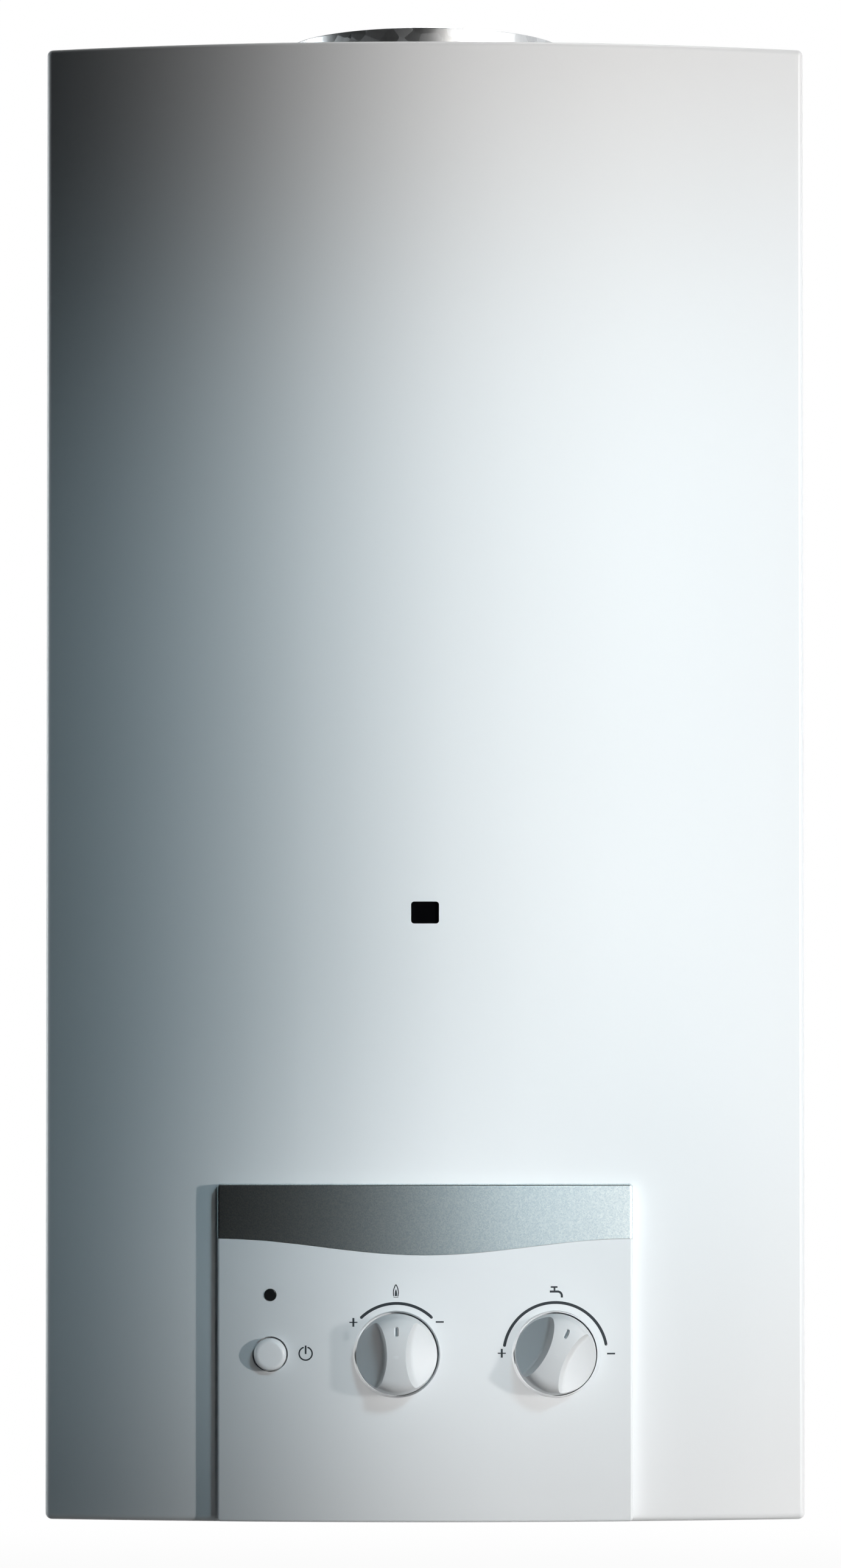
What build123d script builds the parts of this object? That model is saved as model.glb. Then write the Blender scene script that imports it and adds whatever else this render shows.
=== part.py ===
from build123d import *
from math import cos, pi, sqrt
import os

# Wall-hung gas water heater with an open flue.
# Millimetres. +Z is up, the front faces -Y and the wall is the plane Y = 0.
# The origin is the middle of the four wall fixings, half-way up the casing.

# Fits
seat = 0.3            # gap where one piece seats on another
running = 0.05        # radial gap round a turning or sliding shaft
snug = 0.03           # radial gap of a piece pushed on to its shaft
thread_play = 0.05    # radial gap round a screw in its thread

# Casing
case_width = 350.0
case_height = 680.0
case_depth = 240.0            # wall to the middle of the bowed front
front_radius = 650.0          # bow of the front, in plan
case_sheet = 1.0
case_bend = 3.0               # bend between the front and each side
case_top_bend = 2.5
case_bottom_bend = 3.0
case_wall_gap = 3.0           # wall to the rear edge of the sides
case_lip = 14.0               # lip turned in round the bottom
window_above_bottom = 279.0
window_width = 12.8
window_height = 10.1
window_corner = 1.4
flue_slot = 140.0             # slot in the top that lets the casing pass the collar
case_screw_radius = 2.0
case_screw_head = 3.8
case_screw_head_height = 2.2
case_screw_length = 12.0
case_screw_back = 21.0        # screw's distance from the wall

# Back plate
back_sheet = 1.2
back_side_gap = 1.0           # back plate to the casing's side, inside
back_flange = 15.0
back_ear_width = 18.0
back_ear_depth = 30.0
fixing_spacing_x = 300.0
fixing_spacing_z = 600.0
fixing_hole = 8.0
bead_spacing = 120.0
bead_width = 14.0
bead_length = 520.0
bead_depth = 3.0

# Flue, hood, heat exchanger and chamber: one stack on one axis
flue_from_wall = 110.0
flue_bore = 131.0             # takes a 130 mm flue pipe
collar_sheet = 1.0
collar_above_case = 17.5
collar_flange_width = 7.5
stack_width = 244.0
stack_depth = 134.0
stack_sheet = 1.0
hood_below_case_top = 3.0     # casing's top sheet, underside, to the hood's top
hood_top_width = 210.0
hood_top_depth = 150.0
hood_straight = 40.0          # height of the hood's straight lower part
relief_width = 160.0
relief_height = 26.0
exchanger_height = 68.0
chamber_height = 180.0
flame_gap = 28.0              # burner's top to the chamber's lower edge
flame_below_window = 17.0     # sight window's middle to the burner's top
fin_count = 26
fin_sheet = 0.8
fin_pitch = 9.0
fin_margin = 2.0
chamber_corner = 8.0
tube_radius = 6.0
tube_wall = 1.0
tube_rows = 5
tube_pitch = 24.0
tube_play = 0.05
tube_turn_clearance = 2.0     # exchanger's side to the inside of the tube's turns
tube_turn_ease = 0.2          # taken off each turn's radius, so that a short straight stays
coil_clearance = 1.0          # exchanger tube's end to the coil's riser, beyond its bend
coil_above_foot = 70.0        # chamber's lower edge to the coil's front run
coil_rise = 50.0              # what the coil climbs along the chamber's back
bracket_x = 96.0              # middle of the case to the stack's and burner's brackets
sensor_radius = 9.0
sensor_height = 10.0
sensor_ear_width = 30.0
sensor_round = 1.0

# Burner
bar_count = 15
bar_pitch = 15.5
bar_width = 10.0
bar_height = 42.0
bar_slot_width = 1.6
bar_slot_pitch = 6.0
bar_slot_depth = 4.0
venturi_radius = 4.2
venturi_depth = 26.0
venturi_above_foot = 7.0
ring_sheet = 1.5
ring_height = 14.0
ring_below_top = 8.0
arm_width = 12.0
manifold_size = 16.0
manifold_wall = 1.6
manifold_gap = 4.0            # manifold to the burner frame
injector_radius = 3.0
injector_bore = 0.8
injector_reach = 0.5
injector_nose = 1.4

# Controls, placed on the panel
knob_above_bottom = 77.0
gas_knob_x = -13.0
water_knob_x = 59.5
water_knob_rest = 25.0        # degrees clockwise from straight up
knob_radius = 18.5
knob_height = 27.6
knob_rim = 10.0               # height of the knob's straight rim
knob_draft = 2.0
knob_crown_radius = 60.0
knob_shoulder = 7.0
knob_floor_gap = 0.4
knob_side_gap = 0.7
grip_half_width = 3.9         # half the grip's waist, at its top
grip_waist_radius = 37.6      # waist's curve, seen from the front
grip_flank = 2.6              # how far the grip widens towards its foot
grip_foot_height = 17.0
grip_foot_round = 3.0
scoop_rim_height = 8.1
scoop_start = 1.0             # crown of the knob to where the grip's flanks begin, above it
scoop_reach = 16.0
pointer_inner = 8.5
pointer_outer = 13.2
pointer_width = 2.0
pointer_depth = 0.8
spindle_radius = 4.0
spindle_in_knob = 15.0
spindle_flat = 1.0            # depth of the flat on the knob's end
button_x = -70.7
button_radius = 7.4
button_gap = 0.7
button_proud = 5.4
button_dome = 2.2
button_travel = 2.0
button_flange = 1.2
button_flange_height = 1.0
button_stem = 3.0
button_boss_depth = 3.6       # panel's front to the rear of the button's ring
led_above_knobs = 27.0
led_radius = 2.8
led_play = 0.1
led_proud = 0.3

# Control panel
panel_width = 190.0
panel_height = 154.3
panel_rise = 0.5              # casing's bottom to the panel's bottom
panel_proud = 7.5
panel_wall = 2.5
panel_edge = 1.4              # rounding of the front's outer edge
panel_corner = 1.6
panel_gap = 0.3               # panel to the casing
panel_hole_play = 1.2         # casing's cut-out round the knob cups
cup_depth = 6.4               # panel's front to the cup's floor
cup_wall = 1.8
dish_width = 2.2
dish_depth = 0.7
band_end_height = 25.0
band_middle_height = 32.5
band_gap = 0.15
tongue_height = 18.0
tongue_sheet = 1.2
tongue_root = 5.0
split_steps = 12              # points along each half of the band's lower edge
spindle_hole_play = 1.0
glass_width = 22.0
glass_height = 18.0
glass_sheet = 1.0
board_width = 20.0
board_height = 52.0
board_sheet = 1.6
board_behind_face = 12.8
switch_size = 9.0
switch_height = 3.5
switch_gap = 0.5              # bottomed stem to the switch
button_spring_wire = 0.4
button_spring_turns = 4
post_radius = 1.8
board_slot_play = 2.0

# Gas valve and water switch
valve_axis_from_wall = 112.0  # wall to the tappet's axis
valve_width = 62.0
valve_depth = 64.0
valve_height = 62.0
valve_round = 4.0
valve_axis_right = 29.0       # gas knob's axis to the body's right face
valve_ahead = 38.0            # tappet's axis to the body's front
gas_port_radius = 5.0
link_radius = 3.0
plug_radius = 9.0
plug_length = 16.0
plug_cavity_play = 0.5
bonnet_radius = 19.0
bonnet_sheet = 6.0
bonnet_boss = 10.0
bonnet_boss_length = 36.0
bonnet_round = 1.0
poppet_radius = 9.0
poppet_thickness = 4.0
poppet_bore = 11.0
seat_radius = 6.0
seat_length = 22.0
tappet_radius = 2.0
tappet_travel = 4.0
neck_radius = 17.0
neck_wall = 3.0
gland_sheet = 1.5
neck_length = 14.0
neck_window = 9.0
neck_window_width = 12.0
switch_arm_radius = 4.5
switch_arm_length = 4.0
solenoid_radius = 13.0
solenoid_length = 30.0
solenoid_spigot = 12.0
solenoid_round = 1.5
spring_radius = 6.5
spring_wire = 0.6
spring_turns = 5
water_radius = 36.0
cover_thickness = 14.0
diaphragm_sheet = 1.5
diaphragm_cavity = 27.0
cavity_depth = 7.0
water_body_thickness = 30.0
water_edge = 2.0              # bevel on the switch's two outer edges
plate_radius = 22.0
plate_sheet = 2.0
boss_radius = 11.0
boss_length = 34.0
water_boss_bore = 48.0        # depth of the selector's bore from the boss's face
selector_end_gap = 1.0        # selector's shaft to the bottom of its bore
needle_radius = 2.6
needle_length = 8.0
port_radius = 11.0
port_length = 9.0
port_bore = 5.0
water_screw_circle = 31.5
water_screw_count = 6
water_screw_radius = 2.0
water_screw_head = 3.6
water_screw_head_height = 3.0
water_screw_grip = 8.0        # depth of the screw's hole in the body
water_screw_end_gap = 1.0     # screw's end to the bottom of its hole
water_outlet_x = 60.5
water_outlet_rise = 45.0      # body's axis to the face of its upper port
microswitch_side_gap = 0.5
microswitch_height = 14.0
microswitch_thickness = 8.0
microswitch_round = 1.0
feeler_sheet = 0.6

# Pipes and connections
pipe_radius = 6.0
gas_pipe_radius = 7.0
pipe_wall = 1.0
pipe_bend = 16.0
connection_from_wall = 64.0
connection_below_case = 8.0
connection_length = 18.0
hot_x = -80.0
gas_x = 5.0
cold_x = 110.0
half_inch_thread = 10.48
three_quarter_thread = 13.22
connection_shoulder = 1.0     # step from each thread to its shoulder in the plate
nut_height = 16.0
nut_wall = 4.0
bracket_width = 26.0
bracket_sheet = 2.0
cold_loop = 27.0              # rear port's face to the cold pipe's rear bend
hot_reach = 21.7              # exchanger tube's end to the hot riser
hot_fall = 32.0               # burner's top to the start of the hot pipe's jog
hot_jog = 40.0
plate_tab = 40.0
limiter_size = 16.0
limiter_drop = 60.0
limiter_reach = 14.0
clip_sheet = 1.5

# Ignition and battery
box_width = 66.0
box_depth = 50.0
box_height = 110.0
box_wall = 2.0
box_x = -132.0
box_above_bottom = 68.0
lid_sheet = 2.0
ignition_board_sheet = 1.6
transformer_width = 33.0
transformer_height = 27.5
transformer_above = 27.5      # middle of the box to the transformer's middle
relay_size = 22.0
relay_below = 22.0
cell_radius = 17.1
cell_length = 59.5
cell_nub_radius = 4.75
cell_nub = 2.0
cell_round = 1.0
contact_sheet = 0.5
contact_gap = 0.3
holder_wall = 1.6
holder_x = -98.0
flap_sheet = 2.0
hinge_pin_radius = 1.0
knuckle_radius = 2.2
knuckle_width = 10.0
hinge_ahead = 3.3             # holder's front wall to the hinge's axis
lead_radius = 1.4
lead_bend = 9.0
lead_reach = 11.0
lead_fall = 64.0
lead_rise = 14.0
lead_step = 4.0               # height between neighbouring leads
lead_from_back = 19.0
electrode_radius = 3.0
electrode_collar = 4.5
electrode_length = 38.0
electrode_wire = 0.8
electrode_spacing = 30.0
electrode_above_burner = 10.0
electrode_ear = 2.0           # bracket's rim above the electrode's collar
bracket_span = 50.0
wire_reach = 16.0
wire_bend = 3.0
wire_above_burner = 2.0

# Places that follow from the sizes above
case_bottom = -case_height / 2
case_top = case_height / 2
half_width = case_width / 2
back_face = -back_sheet
knob_z = case_bottom + knob_above_bottom
window_z = case_bottom + window_above_bottom
stack_y = -flue_from_wall
valve_y = -valve_axis_from_wall
stack_front = stack_y - stack_depth / 2
stack_rear = stack_y + stack_depth / 2
burner_top = window_z - flame_below_window
chamber_bottom = burner_top + flame_gap
chamber_top = chamber_bottom + chamber_height
exchanger_bottom = chamber_top + seat
exchanger_top = exchanger_bottom + exchanger_height
hood_bottom = exchanger_top + seat
hood_top = case_top - case_sheet - hood_below_case_top


def front_y(x, proud=0.0):
    """Y of the casing's bowed front at x, or of a surface that stands proud of it."""
    return front_radius - case_depth - sqrt((front_radius + proud) ** 2 - x**2)


def keep(piece, name):
    """Label a finished piece and write it."""
    piece.part.label = name
    export_step(piece.part, f"parts/{name}.step")


def casing_plan(inset, rear):
    """Plan outline of the casing, drawn inset from its outer face."""
    half = half_width - inset
    corner_y = front_y(half, -inset)
    with BuildLine() as outline:
        ThreePointArc((-half, corner_y), (0, front_y(0, -inset)), (half, corner_y))
        Polyline((half, corner_y), (half, rear), (-half, rear), (-half, corner_y))
    return make_face(outline.edges())


def bowed_plan(width, front, rear):
    """Plan outline of a plate bowed like the casing, from one proud surface to another."""
    half = width / 2
    with BuildLine() as outline:
        ThreePointArc((-half, front_y(half, front)), (0, front_y(0, front)), (half, front_y(half, front)))
        Line((half, front_y(half, front)), (half, front_y(half, rear)))
        ThreePointArc((half, front_y(half, rear)), (0, front_y(0, rear)), (-half, front_y(half, rear)))
        Line((-half, front_y(half, rear)), (-half, front_y(half, front)))
    return make_face(outline.edges())


def pipe_route(points, bend):
    """Straight runs joined by tangent bends."""
    with BuildLine() as route:
        FilletPolyline(*points, radius=bend)
    return route.line


def ring_section(route, radius, wall):
    """Cross-section of a pipe at the start of its route."""
    with BuildSketch(Plane(route @ 0, z_dir=route % 0)) as section:
        Circle(radius)
        if wall < radius:
            Circle(radius - wall, mode=Mode.SUBTRACT)
    return section.sketch


# Front casing: bowed front, two sides and a top, with a lip turned in at the bottom
cup_radius = knob_radius + knob_side_gap
cup_outer = cup_radius + cup_wall
with BuildPart() as front_case:
    with BuildSketch(Plane.XY.offset(case_bottom)):
        add(casing_plan(0, -case_wall_gap))
    extrude(amount=case_height)
    fillet(front_case.edges().filter_by(Axis.Z).group_by(Axis.Y)[0], case_bend)
    fillet(front_case.faces().sort_by(Axis.Z)[-1].edges().sort_by(Axis.Y)[:-1], case_top_bend)
    fillet(front_case.faces().sort_by(Axis.Z)[0].edges().sort_by(Axis.Y)[:-1], case_bottom_bend)
    offset(amount=-case_sheet, openings=front_case.faces().sort_by(Axis.Y)[-1])
    with BuildSketch(Plane.XY.offset(case_bottom)):
        add(casing_plan(case_lip, 0))
    extrude(amount=2 * case_sheet, mode=Mode.SUBTRACT)
    with BuildSketch(Plane.XY.offset(case_bottom)):
        with Locations((0, -case_screw_back)):
            with GridLocations(case_width - case_lip, 0, 2, 1):
                Circle(case_screw_radius + thread_play)
    extrude(amount=2 * case_sheet, mode=Mode.SUBTRACT)
    with BuildSketch(Plane.XY.offset(case_top)):
        with Locations((0, stack_y)):
            Circle(flue_slot / 2)
        with Locations((0, stack_y / 2)):
            Rectangle(flue_slot, flue_from_wall)
    extrude(amount=-2 * case_sheet, mode=Mode.SUBTRACT)
    with BuildSketch(Plane.XZ.offset(case_depth)):
        with Locations((0, window_z)):
            RectangleRounded(window_width, window_height, window_corner)
        with Locations((gas_knob_x, knob_z), (water_knob_x, knob_z)):
            Circle(cup_outer + panel_hole_play)
        with Locations((button_x, knob_z + led_above_knobs / 2)):
            RectangleRounded(
                board_width + 2 * board_slot_play,
                board_height + 2 * board_slot_play,
                board_slot_play,
            )
    extrude(amount=-(case_depth + front_y(half_width)) - case_sheet, mode=Mode.SUBTRACT)
keep(front_case, "front_case")

# Back plate: pressed sheet with flanges, two beads, the fixing holes and the screw ears
back_bottom = case_bottom + case_sheet + seat
back_top = case_top - case_sheet - seat
back_height = back_top - back_bottom
back_width = case_width - 2 * (case_sheet + back_side_gap)
case_screw_x = (case_width - case_lip) / 2
with BuildPart() as back_plate:
    with BuildSketch(Plane.XZ):
        Rectangle(back_width, back_height)
    extrude(amount=back_sheet)
    with BuildSketch(Plane.XZ):
        with GridLocations(bead_spacing, 0, 2, 1):
            SlotOverall(bead_length, bead_width, rotation=90)
    extrude(amount=back_sheet + bead_depth)
    with BuildSketch(Plane.XZ):
        with GridLocations(bead_spacing, 0, 2, 1):
            SlotOverall(bead_length - 2 * back_sheet, bead_width - 2 * back_sheet, rotation=90)
    extrude(amount=bead_depth, mode=Mode.SUBTRACT)
    with BuildSketch(Plane.XZ):
        with GridLocations(back_width - back_sheet, 0, 2, 1):
            Rectangle(back_sheet, back_height)
        with Locations((0, back_top - back_sheet / 2)):
            Rectangle(back_width, back_sheet)
    extrude(amount=back_flange)
    with BuildSketch(Plane.XY.offset(back_bottom)):
        with Locations((0, -back_ear_depth / 2)):
            with GridLocations(back_width - back_ear_width, 0, 2, 1):
                Rectangle(back_ear_width, back_ear_depth)
    extrude(amount=back_sheet)
    with BuildSketch(Plane.XY.offset(back_bottom)):
        with Locations((0, -case_screw_back)):
            with GridLocations(2 * case_screw_x, 0, 2, 1):
                Circle(case_screw_radius + thread_play)
    extrude(amount=back_sheet, mode=Mode.SUBTRACT)
    with BuildSketch(Plane.XZ):
        with GridLocations(fixing_spacing_x, fixing_spacing_z, 2, 2):
            Circle(fixing_hole / 2)
    extrude(amount=back_sheet, mode=Mode.SUBTRACT)
keep(back_plate, "back_plate")

# Casing screws: up through the lip into the back plate's ears
with BuildPart() as case_screws:
    with BuildSketch(Plane.XY.offset(case_bottom)):
        with Locations((0, -case_screw_back)):
            with GridLocations(2 * case_screw_x, 0, 2, 1):
                Circle(case_screw_radius)
    extrude(amount=case_screw_length)
    with BuildSketch(Plane.XY.offset(case_bottom)):
        with Locations((0, -case_screw_back)):
            with GridLocations(2 * case_screw_x, 0, 2, 1):
                Circle(case_screw_head)
    extrude(amount=-case_screw_head_height)
    fillet(case_screws.faces().group_by(Axis.Z)[0].edges(), case_screw_head_height / 3)
keep(case_screws, "case_screws")

# Draught hood: straight lower part, tapered upper part, relief opening towards the wall.
# The outside is built first, and then the hollow inside it.
with BuildPart() as draught_hood:
    for sheet, build_mode in ((0, Mode.ADD), (stack_sheet, Mode.SUBTRACT)):
        with BuildSketch(Plane.XY.offset(hood_bottom)):
            with Locations((0, stack_y)):
                Rectangle(stack_width - 2 * sheet, stack_depth - 2 * sheet)
        extrude(amount=hood_straight, mode=build_mode)
        with BuildSketch(Plane.XY.offset(hood_bottom + hood_straight)):
            with Locations((0, stack_y)):
                Rectangle(stack_width - 2 * sheet, stack_depth - 2 * sheet)
        with BuildSketch(Plane.XY.offset(hood_top - sheet)):
            with Locations((0, stack_y)):
                Rectangle(hood_top_width - 2 * sheet, hood_top_depth - 2 * sheet)
        loft(mode=build_mode)
    with BuildSketch(Plane.XY.offset(hood_top)):
        with Locations((0, stack_y)):
            Circle(flue_bore / 2)
    extrude(amount=-2 * stack_sheet, mode=Mode.SUBTRACT)
    with BuildSketch(Plane.XZ.offset(-stack_rear - stack_sheet - seat)):
        with Locations((0, hood_bottom + hood_straight / 2)):
            Rectangle(relief_width, relief_height)
    extrude(amount=2 * (stack_sheet + seat), both=True, mode=Mode.SUBTRACT)
keep(draught_hood, "draught_hood")

# Flue collar: a flanged ring, open above for the flue pipe
collar_outer = flue_bore / 2 + collar_sheet
with BuildPart() as flue_collar:
    with BuildSketch(Plane.XY.offset(hood_top)):
        with Locations((0, stack_y)):
            Circle(collar_outer + collar_flange_width)
            Circle(flue_bore / 2, mode=Mode.SUBTRACT)
    extrude(amount=collar_sheet)
    with BuildSketch(Plane.XY.offset(hood_top)):
        with Locations((0, stack_y)):
            Circle(collar_outer)
            Circle(flue_bore / 2, mode=Mode.SUBTRACT)
    extrude(amount=case_top + collar_above_case - hood_top)
    fillet(flue_collar.edges().group_by(Axis.Z)[-1].sort_by(SortBy.LENGTH)[-1], collar_sheet / 2)
keep(flue_collar, "flue_collar")

# Heat exchanger: casing, fins and one serpentine water tube
tube_z = exchanger_bottom + exchanger_height / 2
tube_y = [stack_y + tube_pitch * (row - (tube_rows - 1) / 2) for row in range(tube_rows)]
with BuildPart() as exchanger_casing:
    with BuildSketch(Plane.XY.offset(exchanger_bottom)):
        with Locations((0, stack_y)):
            Rectangle(stack_width, stack_depth)
            Rectangle(stack_width - 2 * stack_sheet, stack_depth - 2 * stack_sheet, mode=Mode.SUBTRACT)
    extrude(amount=exchanger_height)
    with BuildSketch(Plane.YZ):
        with Locations(*[(y, tube_z) for y in tube_y]):
            Circle(tube_radius + tube_play)
    extrude(amount=stack_width / 2, both=True, mode=Mode.SUBTRACT)
keep(exchanger_casing, "exchanger_casing")

fin_planes = [Plane.YZ.offset(fin_pitch * (n - (fin_count - 1) / 2)) for n in range(fin_count)]
with BuildPart() as exchanger_fins:
    with BuildSketch(*fin_planes):
        with Locations((stack_y, tube_z)):
            Rectangle(stack_depth - 2 * (stack_sheet + seat), exchanger_height - 2 * fin_margin)
        with Locations(*[(y, tube_z) for y in tube_y]):
            Circle(tube_radius + tube_play, mode=Mode.SUBTRACT)
    extrude(amount=fin_sheet / 2, both=True)
keep(exchanger_fins, "exchanger_fins")

tube_face = stack_width / 2 + seat
turn_x = stack_width / 2 + tube_pitch / 2 + tube_turn_clearance
serpentine = [(tube_face, tube_y[0], tube_z)]
for row in range(tube_rows - 1):
    side = -1 if row % 2 == 0 else 1
    serpentine += [(side * turn_x, tube_y[row], tube_z), (side * turn_x, tube_y[row + 1], tube_z)]
serpentine.append((-tube_face, tube_y[-1], tube_z))
with BuildPart() as exchanger_tubes:
    tube_route = pipe_route(serpentine, tube_pitch / 2 - tube_turn_ease)
    sweep(ring_section(tube_route, tube_radius, tube_wall), path=tube_route)
keep(exchanger_tubes, "exchanger_tubes")

# Combustion chamber: open above and below, under the exchanger
with BuildPart() as combustion_chamber:
    with BuildSketch(Plane.XY.offset(chamber_bottom)):
        with Locations((0, stack_y)):
            RectangleRounded(stack_width, stack_depth, chamber_corner)
    extrude(amount=chamber_height)
    offset(amount=-stack_sheet, openings=combustion_chamber.faces().filter_by(Axis.Z))
keep(combustion_chamber, "combustion_chamber")

# Brackets on the back plate: four that carry the stack, and one for the gas valve
def bracket_profile(rear, front, height):
    """Side view of a folded bracket from the back plate to the piece it carries."""
    with BuildSketch() as profile:
        with Locations((rear, height)):
            Rectangle(rear - front, bracket_sheet, align=(Align.MAX, Align.MIN))
            Rectangle(bracket_sheet, bracket_width, align=(Align.MAX, Align.MIN))
        with Locations((front, height)):
            Rectangle(bracket_sheet, bracket_width, align=(Align.MIN, Align.MIN))
    return profile.sketch


with BuildPart() as stack_brackets:
    with BuildSketch(Plane.YZ.offset(-bracket_x), Plane.YZ.offset(bracket_x)):
        add(bracket_profile(back_face, stack_rear, chamber_top - bracket_width))
        add(bracket_profile(back_face, stack_rear, hood_bottom + hood_straight - bracket_width))
    extrude(amount=bracket_width / 2, both=True)
keep(stack_brackets, "stack_brackets")

# Spillage sensor on the hood's side
sensor_z = hood_bottom + hood_straight / 2
sensor_face = stack_width / 2 + sensor_height
with BuildPart() as spillage_sensor:
    with BuildSketch(Plane.YZ.offset(stack_width / 2)):
        with Locations((stack_y, sensor_z)):
            Circle(sensor_radius)
    extrude(amount=sensor_height)
    fillet(spillage_sensor.faces().sort_by(Axis.X)[-1].edges(), sensor_round)
    with BuildSketch(Plane.YZ.offset(stack_width / 2)):
        with Locations((stack_y, sensor_z)):
            Rectangle(sensor_ear_width, sensor_radius)
    extrude(amount=bracket_sheet)
keep(spillage_sensor, "spillage_sensor")

# Feed coil: from the water switch up to the chamber, once round it and into the exchanger
coil_offset = tube_radius + seat
coil_bend = chamber_corner + coil_offset
coil_low = chamber_bottom + coil_above_foot
coil_high = coil_low + coil_rise
water_top_face = knob_z + water_outlet_rise
coil_x = stack_width / 2 + coil_offset
coil_front = stack_front - coil_offset
coil_rear = stack_rear + coil_offset
riser_x = tube_face + coil_bend + coil_clearance
with BuildPart() as chamber_coil:
    coil_route = pipe_route(
        [
            (water_outlet_x, valve_y, water_top_face),
            (water_outlet_x, valve_y, water_top_face + 2 * coil_bend),
            (coil_x, stack_y, burner_top - bar_height - 2 * coil_bend),
            (coil_x, stack_y, coil_low),
            (coil_x, coil_front, coil_low),
            (-coil_x, coil_front, coil_low),
            (-coil_x, coil_rear, coil_low),
            (coil_x, coil_rear, coil_high),
            (riser_x, tube_y[0], coil_high),
            (riser_x, tube_y[0], tube_z),
            (tube_face, tube_y[0], tube_z),
        ],
        coil_bend,
    )
    sweep(ring_section(coil_route, tube_radius, tube_wall), path=coil_route)
keep(chamber_coil, "chamber_coil")

# Burner frame: a ring round the bars with two arms back to the back plate
ring_top = burner_top - ring_below_top
with BuildPart() as burner_frame:
    with BuildSketch(Plane.XY.offset(ring_top)):
        with Locations((0, stack_y)):
            Rectangle(stack_width, stack_depth)
        with Locations((0, back_face)):
            with GridLocations(2 * bracket_x, 0, 2, 1):
                Rectangle(ring_sheet, -stack_rear + back_face, align=(Align.CENTER, Align.MAX))
                Rectangle(arm_width, ring_sheet, align=(Align.CENTER, Align.MAX))
        with Locations((0, stack_y)):
            Rectangle(stack_width - 2 * ring_sheet, stack_depth - 2 * ring_sheet, mode=Mode.SUBTRACT)
    extrude(amount=-ring_height)
keep(burner_frame, "burner_frame")

# Burner bars: slotted on top, each with a venturi mouth at its front end
bar_length = stack_depth - 2 * ring_sheet
bar_front = stack_y - bar_length / 2
venturi_z = burner_top - bar_height + venturi_above_foot
slot_count = int(bar_length / bar_slot_pitch) - 2
with BuildPart() as burner_bars:
    with BuildSketch(Plane.XY.offset(burner_top)):
        with Locations((0, stack_y)):
            with GridLocations(bar_pitch, 0, bar_count, 1):
                Rectangle(bar_width, bar_length)
    extrude(amount=-bar_height)
    with BuildSketch(Plane.XY.offset(burner_top)):
        with Locations((0, stack_y)):
            with GridLocations(0, bar_slot_pitch, 1, slot_count):
                Rectangle(stack_width, bar_slot_width)
    extrude(amount=-bar_slot_depth, mode=Mode.SUBTRACT)
    with BuildSketch(Plane.XZ.offset(-bar_front)):
        with Locations((0, venturi_z)):
            with GridLocations(bar_pitch, 0, bar_count, 1):
                Circle(venturi_radius)
    extrude(amount=-venturi_depth, mode=Mode.SUBTRACT)
keep(burner_bars, "burner_bars")

# Gas manifold: a closed square tube with two lugs on the burner frame
manifold_rear = stack_front - manifold_gap
manifold_y = manifold_rear - manifold_size / 2
manifold_bottom = venturi_z - manifold_size / 2
manifold_length = bar_pitch * (bar_count - 1) + manifold_size
with BuildPart() as gas_manifold:
    with BuildSketch(Plane.XZ.offset(-manifold_rear)):
        with Locations((0, venturi_z)):
            Rectangle(manifold_length, manifold_size)
    extrude(amount=manifold_size)
    with BuildSketch(Plane.XZ.offset(-manifold_rear + manifold_wall)):
        with Locations((0, venturi_z)):
            Rectangle(manifold_length - 2 * manifold_wall, manifold_size - 2 * manifold_wall)
    extrude(amount=manifold_size - 2 * manifold_wall, mode=Mode.SUBTRACT)
    with BuildSketch(Plane.XZ.offset(-stack_front)):
        with Locations((0, manifold_bottom + manifold_size)):
            with GridLocations(manifold_length - arm_width, 0, 2, 1):
                Rectangle(arm_width, ring_top - manifold_bottom - manifold_size,
                          align=(Align.CENTER, Align.MIN))
    extrude(amount=manifold_gap + manifold_size / 2)
    with BuildSketch(Plane.XZ.offset(-manifold_rear)):
        with Locations((0, venturi_z)):
            with GridLocations(bar_pitch, 0, bar_count, 1):
                Circle(injector_radius + thread_play)
    extrude(amount=manifold_wall, mode=Mode.SUBTRACT)
    with BuildSketch(Plane.XY.offset(manifold_bottom)):
        with Locations((gas_knob_x, manifold_y)):
            Circle(tube_radius - tube_wall)
    extrude(amount=manifold_wall, mode=Mode.SUBTRACT)
keep(gas_manifold, "gas_manifold")

# Injectors: one aimed at each venturi mouth
with BuildPart() as gas_injectors:
    with BuildSketch(Plane.XZ.offset(-manifold_rear + manifold_wall)):
        with Locations((0, venturi_z)):
            with GridLocations(bar_pitch, 0, bar_count, 1):
                Circle(injector_radius)
                Circle(injector_bore, mode=Mode.SUBTRACT)
    extrude(amount=-(manifold_wall + manifold_gap + injector_reach))
    rear_rims = gas_injectors.edges().filter_by(GeomType.CIRCLE).group_by(Axis.Y)[-1]
    chamfer(rear_rims.group_by(SortBy.LENGTH)[-1], injector_nose)
keep(gas_injectors, "gas_injectors")

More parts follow.
